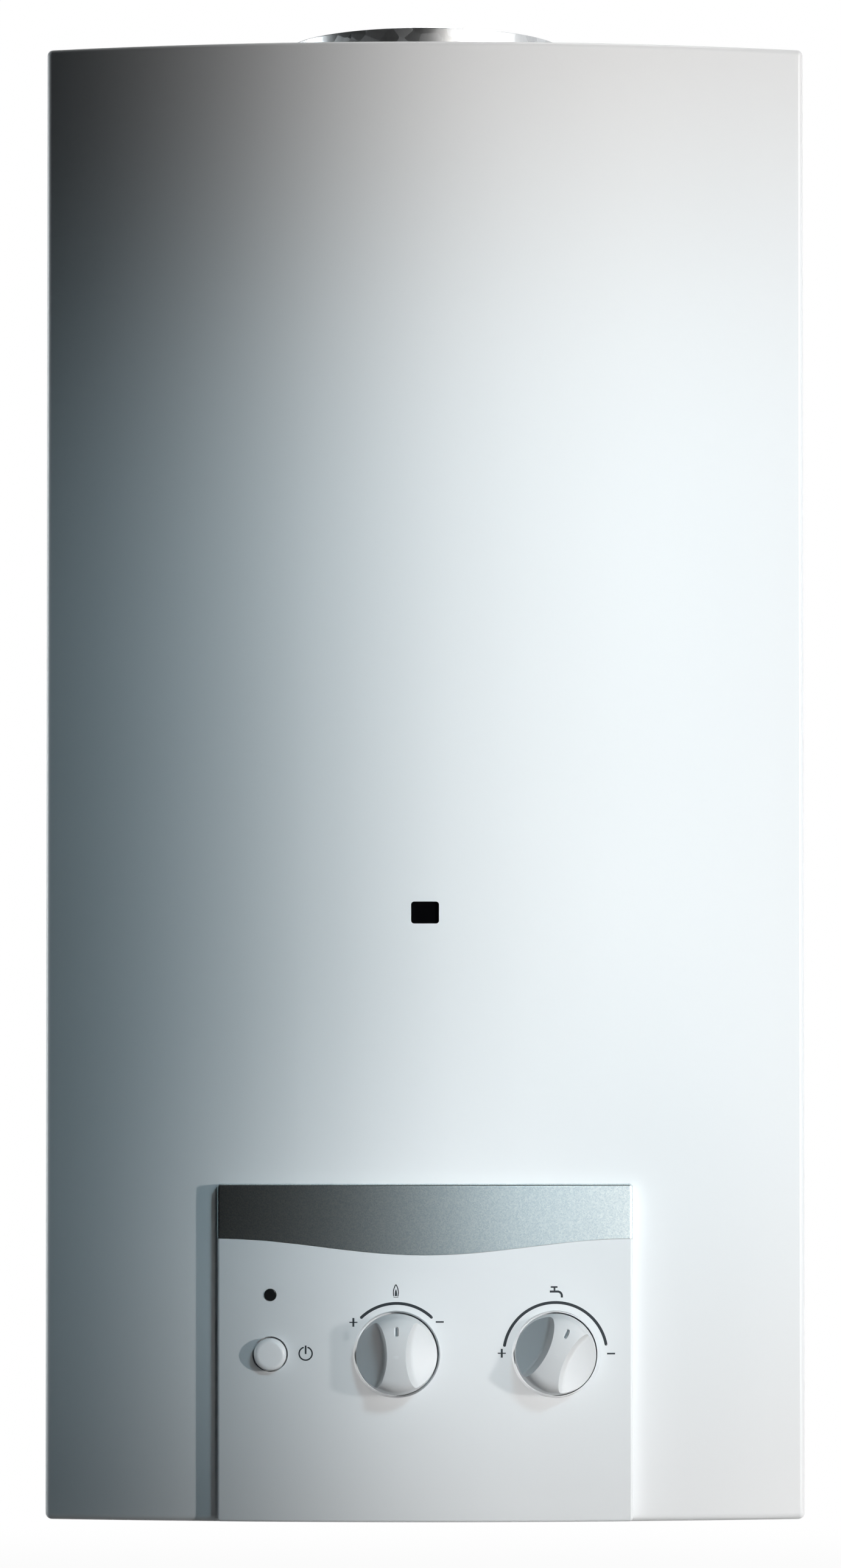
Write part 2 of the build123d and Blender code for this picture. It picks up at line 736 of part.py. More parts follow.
# Gas valve body: plug cavity in front, poppet chamber across it, ports behind and above
valve_right = gas_knob_x + valve_axis_right
valve_left = valve_right - valve_width
valve_front = valve_y - valve_ahead
valve_rear = valve_front + valve_depth
valve_top = knob_z + valve_height / 2
plug_y = valve_front + plug_length / 2
with BuildPart() as gas_valve_body:
    with BuildSketch(Plane.XZ.offset(-valve_front)):
        with Locations((valve_right - valve_width / 2, knob_z)):
            RectangleRounded(valve_width, valve_height, valve_round)
    extrude(amount=-valve_depth)
    chamfer(gas_valve_body.faces().sort_by(Axis.Y)[0].edges(), valve_round / 4)
    with BuildSketch(Plane.XZ.offset(-valve_front)):
        with Locations((gas_knob_x, knob_z)):
            Circle(plug_radius + plug_cavity_play)
    extrude(amount=-(plug_length + 2 * plug_cavity_play), mode=Mode.SUBTRACT)
    with BuildSketch(Plane.XZ.offset(-valve_front)):
        with Locations((gas_knob_x, knob_z)):
            Circle(link_radius)
    extrude(amount=-valve_ahead, mode=Mode.SUBTRACT)
    with BuildSketch(Plane.YZ.offset(valve_left)):
        with Locations((valve_y, knob_z)):
            Circle(poppet_bore)
    extrude(amount=valve_width - seat_length, mode=Mode.SUBTRACT)
    with BuildSketch(Plane.YZ.offset(valve_right)):
        with Locations((valve_y, knob_z)):
            Circle(seat_radius)
    extrude(amount=-valve_width / 2, mode=Mode.SUBTRACT)
    with BuildSketch(Plane.XZ.offset(-valve_rear)):
        with Locations((gas_x, knob_z)):
            Circle(gas_port_radius)
    extrude(amount=valve_rear - valve_y, mode=Mode.SUBTRACT)
    with BuildSketch(Plane.XY.offset(valve_top)):
        with Locations((gas_knob_x, plug_y)):
            Circle(gas_port_radius)
    extrude(amount=-valve_height / 2, mode=Mode.SUBTRACT)
keep(gas_valve_body, "gas_valve_body")

# Bonnet: closes the plug cavity and guides the gas spindle
with BuildPart() as gas_valve_bonnet:
    with BuildSketch(Plane.XZ.offset(-valve_front)):
        with Locations((gas_knob_x, knob_z)):
            Circle(bonnet_radius)
    extrude(amount=bonnet_sheet)
    with BuildSketch(Plane.XZ.offset(-valve_front)):
        with Locations((gas_knob_x, knob_z)):
            Circle(bonnet_boss)
    extrude(amount=bonnet_boss_length)
    fillet(gas_valve_bonnet.faces().sort_by(Axis.Y)[0].edges(), bonnet_round)
    with BuildSketch(Plane.XZ.offset(-valve_front)):
        with Locations((gas_knob_x, knob_z)):
            Circle(spindle_radius + running)
    extrude(amount=bonnet_boss_length, mode=Mode.SUBTRACT)
keep(gas_valve_bonnet, "gas_valve_bonnet")

# Solenoid: its spigot closes the poppet chamber
with BuildPart() as gas_solenoid:
    with BuildSketch(Plane.YZ.offset(valve_left)):
        with Locations((valve_y, knob_z)):
            Circle(solenoid_radius)
    extrude(amount=-solenoid_length)
    fillet(gas_solenoid.faces().sort_by(Axis.X)[0].edges(), solenoid_round)
    with BuildSketch(Plane.YZ.offset(valve_left)):
        with Locations((valve_y, knob_z)):
            Circle(poppet_bore - seat)
    extrude(amount=solenoid_spigot)
keep(gas_solenoid, "gas_solenoid")

# Knob shape, drawn on its own axis with its base at height 0 and its pointer along +Y
side_top = knob_height - knob_crown_radius + sqrt(knob_crown_radius**2 - (knob_radius - knob_draft) ** 2)
scoop_axis = Axis((grip_half_width + grip_waist_radius, 0, 0), (0, 0, 1))
scoop_foot = grip_half_width + grip_flank
above_knob = knob_height + scoop_start
with BuildPart() as knob_shape:
    with BuildSketch(Plane.XZ) as knob_profile:
        with BuildLine():
            Polyline((0, knob_height), (0, 0), (knob_radius, 0), (knob_radius, knob_rim))
            Line((knob_radius, knob_rim), (knob_radius - knob_draft, side_top))
            ThreePointArc(
                (knob_radius - knob_draft, side_top),
                (
                    (knob_radius - knob_draft) / 2,
                    knob_height - knob_crown_radius
                    + sqrt(knob_crown_radius**2 - ((knob_radius - knob_draft) / 2) ** 2),
                ),
                (0, knob_height),
            )
        make_face()
        fillet(knob_profile.vertices().group_by(Axis.Y)[-2].sort_by(Axis.X)[-1], knob_shoulder)
    revolve(axis=Axis.Z)
    with BuildSketch(Plane.XZ) as scoop_profile:
        with BuildLine():
            Polyline(
                (grip_half_width, above_knob),
                (scoop_foot, grip_foot_height),
                (scoop_foot + scoop_reach, scoop_rim_height),
                (scoop_foot + scoop_reach, above_knob),
                (grip_half_width, above_knob),
            )
        make_face()
        foot_corner = scoop_profile.vertices().sort_by_distance((scoop_foot, grip_foot_height))[0]
        fillet(foot_corner, grip_foot_round)
    revolve(axis=scoop_axis, mode=Mode.SUBTRACT)
    mirror(about=Plane.YZ, mode=Mode.INTERSECT)
    with BuildSketch(Plane.XY.offset(above_knob)):
        with Locations((0, (pointer_inner + pointer_outer) / 2)):
            SlotOverall(pointer_outer - pointer_inner, pointer_width, rotation=90)
    pointer_floor = knob_height - pointer_outer**2 / (2 * knob_crown_radius) - pointer_depth
    extrude(amount=pointer_floor - above_knob, mode=Mode.SUBTRACT)
    with BuildSketch(Plane.XY):
        Circle(spindle_radius + snug)
        with Locations((0, -spindle_radius - snug + spindle_flat)):
            Rectangle(3 * spindle_radius, spindle_radius, align=(Align.CENTER, Align.MAX), mode=Mode.SUBTRACT)
    extrude(amount=spindle_in_knob + seat, mode=Mode.SUBTRACT)


def cup_floor(x):
    """Y of the floor of a knob's cup at x."""
    return front_y(x, panel_proud) + cup_depth


def knob_place(x, clockwise):
    """Where a knob sits: on its spindle's axis, turned clockwise seen from the front."""
    on_axis = Location((x, cup_floor(x) - knob_floor_gap, knob_z), (90, 0, 0))
    return on_axis * Location((0, 0, 0), (0, 0, -clockwise))


with BuildPart() as gas_knob:
    with Locations(knob_place(gas_knob_x, 0)):
        add(knob_shape.part)
keep(gas_knob, "gas_knob")

with BuildPart() as water_knob:
    with Locations(knob_place(water_knob_x, water_knob_rest)):
        add(knob_shape.part)
keep(water_knob, "water_knob")


def spindle_end(x, clockwise):
    """Sketch plane at the outer end of a spindle, turned with its knob."""
    return Plane(knob_place(x, clockwise) * Location((0, 0, spindle_in_knob)))


# Gas spindle: plug with a cross port, shaft and flat end
with BuildPart() as gas_spindle:
    with BuildSketch(spindle_end(gas_knob_x, 0)):
        Circle(spindle_radius)
        with Locations((0, -spindle_radius + spindle_flat)):
            Rectangle(2 * spindle_radius, spindle_radius, align=(Align.CENTER, Align.MAX), mode=Mode.SUBTRACT)
    extrude(amount=-(spindle_in_knob + knob_floor_gap))
    with BuildSketch(Plane.XZ.offset(-cup_floor(gas_knob_x))):
        with Locations((gas_knob_x, knob_z)):
            Circle(spindle_radius)
    extrude(amount=cup_floor(gas_knob_x) - valve_front - plug_cavity_play)
    with BuildSketch(Plane.XZ.offset(-valve_front - plug_cavity_play)):
        with Locations((gas_knob_x, knob_z)):
            Circle(plug_radius)
    extrude(amount=-plug_length)
    with BuildSketch(Plane.XY.offset(knob_z)):
        with Locations((gas_knob_x, plug_y)):
            Circle(link_radius)
    extrude(amount=plug_radius, mode=Mode.SUBTRACT)
    with BuildSketch(Plane.XZ.offset(-plug_y)):
        with Locations((gas_knob_x, knob_z)):
            Circle(link_radius)
    extrude(amount=-plug_length, mode=Mode.SUBTRACT)
keep(gas_spindle, "gas_spindle")

# Poppet and its tappet rod, on the tappet's axis
tappet_line = (valve_y, knob_z)
poppet_face = valve_right - seat_length - seat
poppet_back = poppet_face - poppet_thickness
cover_left = valve_right + neck_length
cover_right = cover_left + cover_thickness
plate_left = cover_right - plate_sheet
collar_left = valve_right + gland_sheet + tappet_travel + seat
feeler_x = collar_left + switch_arm_length + seat
with BuildPart() as gas_poppet:
    with BuildSketch(Plane.YZ.offset(poppet_face)):
        with Locations(tappet_line):
            Circle(poppet_radius)
            Circle(tappet_radius + snug, mode=Mode.SUBTRACT)
    extrude(amount=-poppet_thickness)
keep(gas_poppet, "gas_poppet")

with BuildPart() as tappet_rod:
    with BuildSketch(Plane.YZ.offset(poppet_back)):
        with Locations(tappet_line):
            Circle(tappet_radius)
    extrude(amount=plate_left - poppet_back)
    with BuildSketch(Plane.YZ.offset(collar_left)):
        with Locations(tappet_line):
            Circle(switch_arm_radius)
    extrude(amount=switch_arm_length)
keep(tappet_rod, "tappet_rod")

with BuildPart() as diaphragm_plate:
    with BuildSketch(Plane.YZ.offset(plate_left)):
        with Locations(tappet_line):
            Circle(plate_radius)
    extrude(amount=plate_sheet)
keep(diaphragm_plate, "diaphragm_plate")

# Poppet spring: from the poppet's back to the solenoid's spigot
spring_room = poppet_back - valve_left - solenoid_spigot
spring_height = spring_room - 2 * (spring_wire + running)
with BuildPart() as poppet_spring:
    with BuildLine() as poppet_coil:
        Helix(
            pitch=spring_height / spring_turns,
            height=spring_height,
            radius=spring_radius,
            center=(poppet_back - spring_wire - running, valve_y, knob_z),
            direction=(-1, 0, 0),
        )
    sweep(ring_section(poppet_coil.line, spring_wire, spring_wire), path=poppet_coil.line, is_frenet=True)
keep(poppet_spring, "poppet_spring")

# Neck: joins the gas valve to the water switch, open above for the microswitch
with BuildPart() as valve_neck:
    with BuildSketch(Plane.YZ.offset(valve_right)):
        with Locations(tappet_line):
            Circle(neck_radius)
            Circle(neck_radius - neck_wall, mode=Mode.SUBTRACT)
    extrude(amount=neck_length)
    with BuildSketch(Plane.YZ.offset(valve_right)):
        with Locations(tappet_line):
            Circle(neck_radius)
            Circle(tappet_radius + running, mode=Mode.SUBTRACT)
    extrude(amount=gland_sheet)
    with BuildSketch(Plane.XY.offset(knob_z)):
        with Locations((valve_right + neck_length / 2, valve_y)):
            Rectangle(neck_window, neck_window_width)
    extrude(amount=neck_radius, mode=Mode.SUBTRACT)
keep(valve_neck, "valve_neck")

# Water switch: cover, diaphragm and body, clamped by one circle of screws
with BuildPart() as water_switch_cover:
    with BuildSketch(Plane.YZ.offset(cover_left)):
        with Locations(tappet_line):
            Circle(water_radius)
            Circle(tappet_radius + running, mode=Mode.SUBTRACT)
            with PolarLocations(water_screw_circle, water_screw_count):
                Circle(water_screw_radius + thread_play, mode=Mode.SUBTRACT)
    extrude(amount=cover_thickness)
    with BuildSketch(Plane.YZ.offset(cover_right)):
        with Locations(tappet_line):
            Circle(diaphragm_cavity)
    extrude(amount=-cavity_depth, mode=Mode.SUBTRACT)
    chamfer(water_switch_cover.faces().sort_by(Axis.X)[0].edges().sort_by(SortBy.LENGTH)[-1], water_edge)
keep(water_switch_cover, "water_switch_cover")

with BuildPart() as diaphragm:
    with BuildSketch(Plane.YZ.offset(cover_right)):
        with Locations(tappet_line):
            Circle(water_radius)
            with PolarLocations(water_screw_circle, water_screw_count):
                Circle(water_screw_radius + thread_play, mode=Mode.SUBTRACT)
    extrude(amount=diaphragm_sheet)
keep(diaphragm, "diaphragm")

body_left = cover_right + diaphragm_sheet
boss_face = valve_y - water_radius - boss_length
rear_port_face = valve_y + water_radius + port_length
with BuildPart() as water_switch_body:
    with BuildSketch(Plane.YZ.offset(body_left)):
        with Locations(tappet_line):
            Circle(water_radius)
    extrude(amount=water_body_thickness)
    chamfer(water_switch_body.faces().sort_by(Axis.X)[-1].edges(), water_edge)
    with BuildSketch(Plane.XZ.offset(-boss_face)):
        with Locations((water_knob_x, knob_z)):
            Circle(boss_radius)
    extrude(amount=boss_face - valve_y)
    with BuildSketch(Plane.XZ.offset(-rear_port_face)):
        with Locations((water_knob_x, knob_z)):
            Circle(port_radius)
    extrude(amount=rear_port_face - valve_y)
    with BuildSketch(Plane.XY.offset(water_top_face)):
        with Locations((water_outlet_x, valve_y)):
            Circle(port_radius)
    extrude(amount=knob_z - water_top_face)
    with BuildSketch(Plane.YZ.offset(body_left)):
        with Locations(tappet_line):
            Circle(diaphragm_cavity)
    extrude(amount=cavity_depth, mode=Mode.SUBTRACT)
    with BuildSketch(Plane.YZ.offset(body_left)):
        with Locations(tappet_line):
            with PolarLocations(water_screw_circle, water_screw_count):
                Circle(water_screw_radius + thread_play)
    extrude(amount=water_screw_grip, mode=Mode.SUBTRACT)
    with BuildSketch(Plane.XZ.offset(-boss_face)):
        with Locations((water_knob_x, knob_z)):
            Circle(spindle_radius + running)
    extrude(amount=-water_boss_bore, mode=Mode.SUBTRACT)
    with BuildSketch(Plane.XZ.offset(-boss_face)):
        with Locations((water_knob_x, knob_z)):
            Circle(needle_radius + running)
    extrude(amount=boss_face - rear_port_face, mode=Mode.SUBTRACT)
    with BuildSketch(Plane.XZ.offset(-rear_port_face)):
        with Locations((water_knob_x, knob_z)):
            Circle(port_bore)
    extrude(amount=2 * port_length, mode=Mode.SUBTRACT)
    with BuildSketch(Plane.XY.offset(water_top_face)):
        with Locations((water_outlet_x, valve_y)):
            Circle(port_bore)
    extrude(amount=-water_outlet_rise, mode=Mode.SUBTRACT)
keep(water_switch_body, "water_switch_body")

with BuildPart() as water_switch_screws:
    with BuildSketch(Plane.YZ.offset(cover_left)):
        with Locations(tappet_line):
            with PolarLocations(water_screw_circle, water_screw_count):
                Circle(water_screw_radius)
    extrude(amount=cover_thickness + diaphragm_sheet + water_screw_grip - water_screw_end_gap)
    with BuildSketch(Plane.YZ.offset(cover_left)):
        with Locations(tappet_line):
            with PolarLocations(water_screw_circle, water_screw_count):
                RegularPolygon(water_screw_head, 6)
    extrude(amount=-water_screw_head_height)
keep(water_switch_screws, "water_switch_screws")

# Temperature selector: shaft with a throttle needle at its inner end
selector_inner = boss_face + water_boss_bore - selector_end_gap
with BuildPart() as selector_spindle:
    with BuildSketch(spindle_end(water_knob_x, water_knob_rest)):
        Circle(spindle_radius)
        with Locations((0, -spindle_radius + spindle_flat)):
            Rectangle(2 * spindle_radius, spindle_radius, align=(Align.CENTER, Align.MAX), mode=Mode.SUBTRACT)
    extrude(amount=-(spindle_in_knob + knob_floor_gap))
    with BuildSketch(Plane.XZ.offset(-cup_floor(water_knob_x))):
        with Locations((water_knob_x, knob_z)):
            Circle(spindle_radius)
    extrude(amount=cup_floor(water_knob_x) - selector_inner)
    with BuildSketch(Plane.XZ.offset(-selector_inner)):
        with Locations((water_knob_x, knob_z)):
            Circle(needle_radius)
    extrude(amount=-needle_length)
    chamfer(selector_spindle.faces().sort_by(Axis.Y)[-1].edges(), needle_radius / 2)
keep(selector_spindle, "selector_spindle")

# Microswitch: on the neck, with its feeler beside the tappet's collar
with BuildPart() as microswitch:
    with BuildSketch(Plane.XY.offset(knob_z + neck_radius + seat)):
        with Locations((valve_right + neck_length / 2, valve_y)):
            Rectangle(neck_length - 2 * microswitch_side_gap, microswitch_thickness)
    extrude(amount=microswitch_height)
    fillet(microswitch.edges().filter_by(Axis.Z), microswitch_round)
    with BuildSketch(Plane.XY.offset(knob_z + neck_radius + seat)):
        with Locations((feeler_x + feeler_sheet / 2, valve_y)):
            Rectangle(feeler_sheet, 2 * tappet_radius)
    extrude(amount=-(neck_radius + seat - tappet_radius - feeler_sheet))
keep(microswitch, "microswitch")

# The gas valve's bracket
with BuildPart() as valve_bracket:
    with BuildSketch(Plane.YZ.offset(valve_left + valve_round + bracket_width / 2)):
        add(bracket_profile(back_face, valve_rear, knob_z - valve_height / 2 + valve_round))
    extrude(amount=bracket_width / 2, both=True)
keep(valve_bracket, "valve_bracket")

# Pipes: valve to manifold, cold feed, hot outlet and gas inlet
with BuildPart() as manifold_pipe:
    manifold_route = pipe_route(
        [
            (gas_knob_x, plug_y, valve_top),
            (gas_knob_x, plug_y, valve_top + 2 * pipe_bend),
            (gas_knob_x, manifold_y, manifold_bottom - 2 * pipe_bend),
            (gas_knob_x, manifold_y, manifold_bottom),
        ],
        pipe_bend,
    )
    sweep(ring_section(manifold_route, tube_radius, tube_wall), path=manifold_route)
keep(manifold_pipe, "manifold_pipe")

connection_y = -connection_from_wall
connection_foot = case_bottom - connection_below_case
hex_bottom = connection_foot + connection_length
hex_top = hex_bottom + nut_height
with BuildPart() as cold_water_pipe:
    cold_route = pipe_route(
        [
            (cold_x, connection_y, hex_top),
            (cold_x, connection_y, hex_top + 2 * pipe_bend),
            (water_knob_x, rear_port_face + cold_loop, knob_z),
            (water_knob_x, rear_port_face, knob_z),
        ],
        pipe_bend,
    )
    sweep(ring_section(cold_route, pipe_radius, pipe_wall), path=cold_route)
keep(cold_water_pipe, "cold_water_pipe")

hot_side = -tube_face - hot_reach
with BuildPart() as hot_water_pipe:
    hot_route = pipe_route(
        [
            (-tube_face, tube_y[-1], tube_z),
            (hot_side, tube_y[-1], tube_z),
            (hot_side, tube_y[-1], burner_top - hot_fall),
            (hot_x, connection_y, burner_top - hot_fall - hot_jog),
            (hot_x, connection_y, hex_top),
        ],
        pipe_bend,
    )
    sweep(ring_section(hot_route, pipe_radius, pipe_wall), path=hot_route)
keep(hot_water_pipe, "hot_water_pipe")

with BuildPart() as gas_pipe:
    gas_route = pipe_route(
        [
            (gas_x, connection_y, hex_top),
            (gas_x, connection_y, knob_z),
            (gas_x, valve_rear, knob_z),
        ],
        pipe_bend,
    )
    sweep(ring_section(gas_route, gas_pipe_radius, pipe_wall), path=gas_route)
keep(gas_pipe, "gas_pipe")

# Connections at the underside: threaded below, hexagon above, seated on one plate
connections = [
    (hot_x, half_inch_thread, pipe_radius),
    (gas_x, half_inch_thread, gas_pipe_radius),
    (cold_x, three_quarter_thread, pipe_radius),
]
with BuildPart() as pipe_connections:
    for connection_x, thread, pipe in connections:
        with BuildSketch(Plane.XY.offset(connection_foot)):
            with Locations((connection_x, connection_y)):
                Circle(thread)
        extrude(amount=connection_length)
        with BuildSketch(Plane.XY.offset(hex_bottom - bracket_sheet)):
            with Locations((connection_x, connection_y)):
                Circle(thread + connection_shoulder)
        extrude(amount=bracket_sheet)
        with BuildSketch(Plane.XY.offset(hex_bottom)):
            with Locations((connection_x, connection_y)):
                RegularPolygon(thread + nut_wall, 6)
        extrude(amount=nut_height)
        with BuildSketch(Plane.XY.offset(connection_foot)):
            with Locations((connection_x, connection_y)):
                Circle(pipe - pipe_wall)
        extrude(amount=connection_length + nut_height, mode=Mode.SUBTRACT)
keep(pipe_connections, "pipe_connections")

plate_front = connection_y - three_quarter_thread - nut_wall
plate_rear = connection_y + three_quarter_thread + nut_wall
plate_left_end = hot_x - half_inch_thread - nut_wall
plate_right_end = cold_x + three_quarter_thread + nut_wall
with BuildPart() as connection_plate:
    with BuildSketch(Plane.XY.offset(hex_bottom)):
        with Locations((plate_left_end, plate_front)):
            Rectangle(plate_right_end - plate_left_end, plate_rear - plate_front,
                      align=(Align.MIN, Align.MIN))
        with Locations(((gas_x + cold_x) / 2, back_face)):
            Rectangle(plate_tab, -plate_front + back_face, align=(Align.CENTER, Align.MAX))
        for connection_x, thread, pipe in connections:
            with Locations((connection_x, connection_y)):
                Circle(thread + connection_shoulder + seat, mode=Mode.SUBTRACT)
    extrude(amount=-bracket_sheet)
    with BuildSketch(Plane.XY.offset(hex_bottom)):
        with Locations(((gas_x + cold_x) / 2, back_face)):
            Rectangle(plate_tab, bracket_sheet, align=(Align.CENTER, Align.MAX))
    extrude(amount=nut_height)
keep(connection_plate, "connection_plate")

# Overheat limiter: clipped on the hot riser
with BuildPart() as overheat_limiter:
    with BuildSketch(Plane.XY.offset(tube_z - limiter_drop)):
        with Locations((hot_side, tube_y[-1])):
            Circle(pipe_radius + snug + clip_sheet)
            Rectangle(limiter_size, limiter_reach, align=(Align.CENTER, Align.MAX))
            Circle(pipe_radius + snug, mode=Mode.SUBTRACT)
    extrude(amount=limiter_size)
    fillet(overheat_limiter.faces().sort_by(Axis.Y)[0].edges(), clip_sheet)
keep(overheat_limiter, "overheat_limiter")

# Electrodes: on ears of a bracket that stands on the burner frame's front
electrode_z = burner_top + electrode_above_burner
ear_top = electrode_z + electrode_collar + electrode_ear
with BuildPart() as electrode_bracket:
    with BuildSketch(Plane.XZ.offset(-stack_front)):
        with Locations((0, ring_top - ring_height)):
            Rectangle(bracket_span, ear_top - ring_top + ring_height, align=(Align.CENTER, Align.MIN))
        with Locations((0, ring_top)):
            Rectangle(electrode_spacing - 2 * electrode_collar, ear_top - ring_top,
                      align=(Align.CENTER, Align.MIN), mode=Mode.SUBTRACT)
        with Locations((0, electrode_z)):
            with GridLocations(electrode_spacing, 0, 2, 1):
                Circle(electrode_radius + seat, mode=Mode.SUBTRACT)
    extrude(amount=bracket_sheet)
keep(electrode_bracket, "electrode_bracket")

electrode_front = stack_front - bracket_sheet - electrode_length
with BuildPart() as electrodes:
    with BuildSketch(Plane.XZ.offset(-electrode_front)):
        with Locations((0, electrode_z)):
            with GridLocations(electrode_spacing, 0, 2, 1):
                Circle(electrode_radius)
    extrude(amount=-electrode_length - 2 * bracket_sheet)
    with BuildSketch(Plane.XZ.offset(-stack_front + bracket_sheet)):
        with Locations((0, electrode_z)):
            with GridLocations(electrode_spacing, 0, 2, 1):
                Circle(electrode_collar)
    extrude(amount=electrode_collar)
    for side in (-1, 1):
        wire_x = side * electrode_spacing / 2
        wire_route = pipe_route(
            [
                (wire_x, stack_front, electrode_z),
                (wire_x, stack_front + wire_reach, electrode_z),
                (wire_x, stack_front + wire_reach, burner_top + wire_above_burner),
            ],
            wire_bend,
        )
        sweep(ring_section(wire_route, electrode_wire, electrode_wire), path=wire_route)
keep(electrodes, "electrodes")

# Control box on the back plate, with its board and lid
box_bottom = case_bottom + box_above_bottom
box_top = box_bottom + box_height
box_z = box_bottom + box_height / 2
box_front = back_face - box_depth
lid_face = box_front - lid_sheet
board_fit_width = box_width - 2 * (box_wall + seat)
board_fit_height = box_height - 2 * (box_wall + seat)
with BuildPart() as control_box:
    with BuildSketch(Plane.XZ.offset(back_sheet)):
        with Locations((box_x, box_z)):
            RectangleRounded(box_width, box_height, 2 * box_wall)
    extrude(amount=box_depth)
    offset(amount=-box_wall, openings=control_box.faces().sort_by(Axis.Y)[0])
keep(control_box, "control_box")

with BuildPart() as control_box_lid:
    with BuildSketch(Plane.XZ.offset(-box_front)):
        with Locations((box_x, box_z)):
            RectangleRounded(box_width, box_height, 2 * box_wall)
    extrude(amount=lid_sheet)
    with BuildSketch(Plane.XZ.offset(-box_front)):
        with Locations((box_x, box_z)):
            RectangleRounded(board_fit_width, board_fit_height, box_wall)
            Rectangle(board_fit_width - 4 * lid_sheet, board_fit_height - 4 * lid_sheet,
                      mode=Mode.SUBTRACT)
    extrude(amount=-2 * lid_sheet)
keep(control_box_lid, "control_box_lid")

board_rear = back_face - box_wall - seat
with BuildPart() as ignition_board:
    with BuildSketch(Plane.XZ.offset(-board_rear)):
        with Locations((box_x, box_z)):
            RectangleRounded(board_fit_width, board_fit_height, box_wall)
    extrude(amount=ignition_board_sheet)
    with BuildSketch(Plane.XZ.offset(-board_rear)):
        with Locations((box_x, box_z + transformer_above)):
            Rectangle(transformer_width, transformer_height)
        with Locations((box_x, box_z - relay_below)):
            Rectangle(relay_size, relay_size)
    extrude(amount=box_depth / 2)
keep(ignition_board, "ignition_board")

# Battery holder, open below, with its cell, contacts and hinged flap
cell_room = cell_length + cell_nub + 2 * (contact_sheet + contact_gap)
holder_length = cell_room + 2 * holder_wall
holder_depth = 2 * (cell_radius + seat) + 2 * holder_wall
holder_y = back_face - holder_depth / 2
holder_front = back_face - holder_depth
flap_top = case_bottom + flap_sheet
holder_bottom = flap_top + seat
holder_height = 2 * (cell_radius + seat) + holder_wall
cell_z = holder_bottom + cell_radius
hinge_y = holder_front - hinge_ahead
hinge_z = case_bottom + knuckle_radius
ear_width = 2 * knuckle_width
with BuildPart() as battery_holder:
    with BuildSketch(Plane.XY.offset(holder_bottom)):
        with Locations((holder_x, holder_y)):
            Rectangle(holder_length, holder_depth)
    extrude(amount=holder_height)
    fillet(battery_holder.edges().filter_by(Axis.X).group_by(Axis.Z)[-1], holder_wall)
    with BuildSketch(Plane.XY.offset(holder_bottom)):
        with Locations((holder_x, holder_y)):
            Rectangle(cell_room, holder_depth - 2 * holder_wall)
    extrude(amount=holder_height - holder_wall, mode=Mode.SUBTRACT)
    with BuildSketch(Plane.YZ.offset(holder_x)):
        with Locations((hinge_y, hinge_z)):
            Circle(knuckle_radius)
            Rectangle(hinge_ahead, 2 * knuckle_radius, align=(Align.MIN, Align.MIN))
            Circle(hinge_pin_radius + snug, mode=Mode.SUBTRACT)
    extrude(amount=ear_width / 2, both=True)
keep(battery_holder, "battery_holder")

with BuildPart() as battery_cell:
    with BuildSketch(Plane.YZ.offset(holder_x - cell_room / 2 + contact_sheet + contact_gap)):
        with Locations((holder_y, cell_z)):
            Circle(cell_radius)
    extrude(amount=cell_length)
    fillet(battery_cell.edges(), cell_round)
    with BuildSketch(Plane.YZ.offset(holder_x + cell_room / 2 - contact_sheet - contact_gap)):
        with Locations((holder_y, cell_z)):
            Circle(cell_nub_radius)
    extrude(amount=-2 * cell_nub)
keep(battery_cell, "battery_cell")

contact_places = [holder_x - cell_room / 2, holder_x + cell_room / 2 - contact_sheet]
with BuildPart() as battery_contacts:
    with BuildSketch(*[Plane.YZ.offset(place) for place in contact_places]):
        with Locations((holder_y, cell_z)):
            Rectangle(cell_radius, cell_radius)
    extrude(amount=contact_sheet)
keep(battery_contacts, "battery_contacts")

knuckle_places = [holder_x - ear_width / 2 - seat - knuckle_width, holder_x + ear_width / 2 + seat]
with BuildPart() as battery_flap:
    with BuildSketch(Plane.XY.offset(case_bottom)):
        with Locations((holder_x, back_face - seat)):
            Rectangle(holder_length, holder_depth - seat, align=(Align.CENTER, Align.MAX))
    extrude(amount=flap_sheet)
    with BuildSketch(*[Plane.YZ.offset(place) for place in knuckle_places]):
        with Locations((hinge_y, hinge_z)):
            Circle(knuckle_radius)
        with Locations((hinge_y, case_bottom)):
            Rectangle(2 * hinge_ahead, flap_sheet, align=(Align.MIN, Align.MIN))
        with Locations((hinge_y, hinge_z)):
            Circle(hinge_pin_radius + running, mode=Mode.SUBTRACT)
    extrude(amount=knuckle_width)
keep(battery_flap, "battery_flap")

with BuildPart() as flap_hinge_pin:
    with BuildSketch(Plane.YZ.offset(knuckle_places[0])):
        with Locations((hinge_y, hinge_z)):
            Circle(hinge_pin_radius)
    extrude(amount=knuckle_places[1] + knuckle_width - knuckle_places[0])
keep(flap_hinge_pin, "flap_hinge_pin")

# Control panel: bowed shell with two knob cups, a button hole and a tongue behind the band
panel_bottom = case_bottom + panel_rise
panel_top = panel_bottom + panel_height
split_low = panel_top - band_middle_height
skin_rear = panel_proud - panel_wall
tongue_rear = skin_rear - seat - tongue_sheet
button_face = front_y(button_x, panel_proud)
led_z = knob_z + led_above_knobs
board_z = knob_z + led_above_knobs / 2
board_front = button_face + board_behind_face
panel_board_rear = board_front + board_sheet


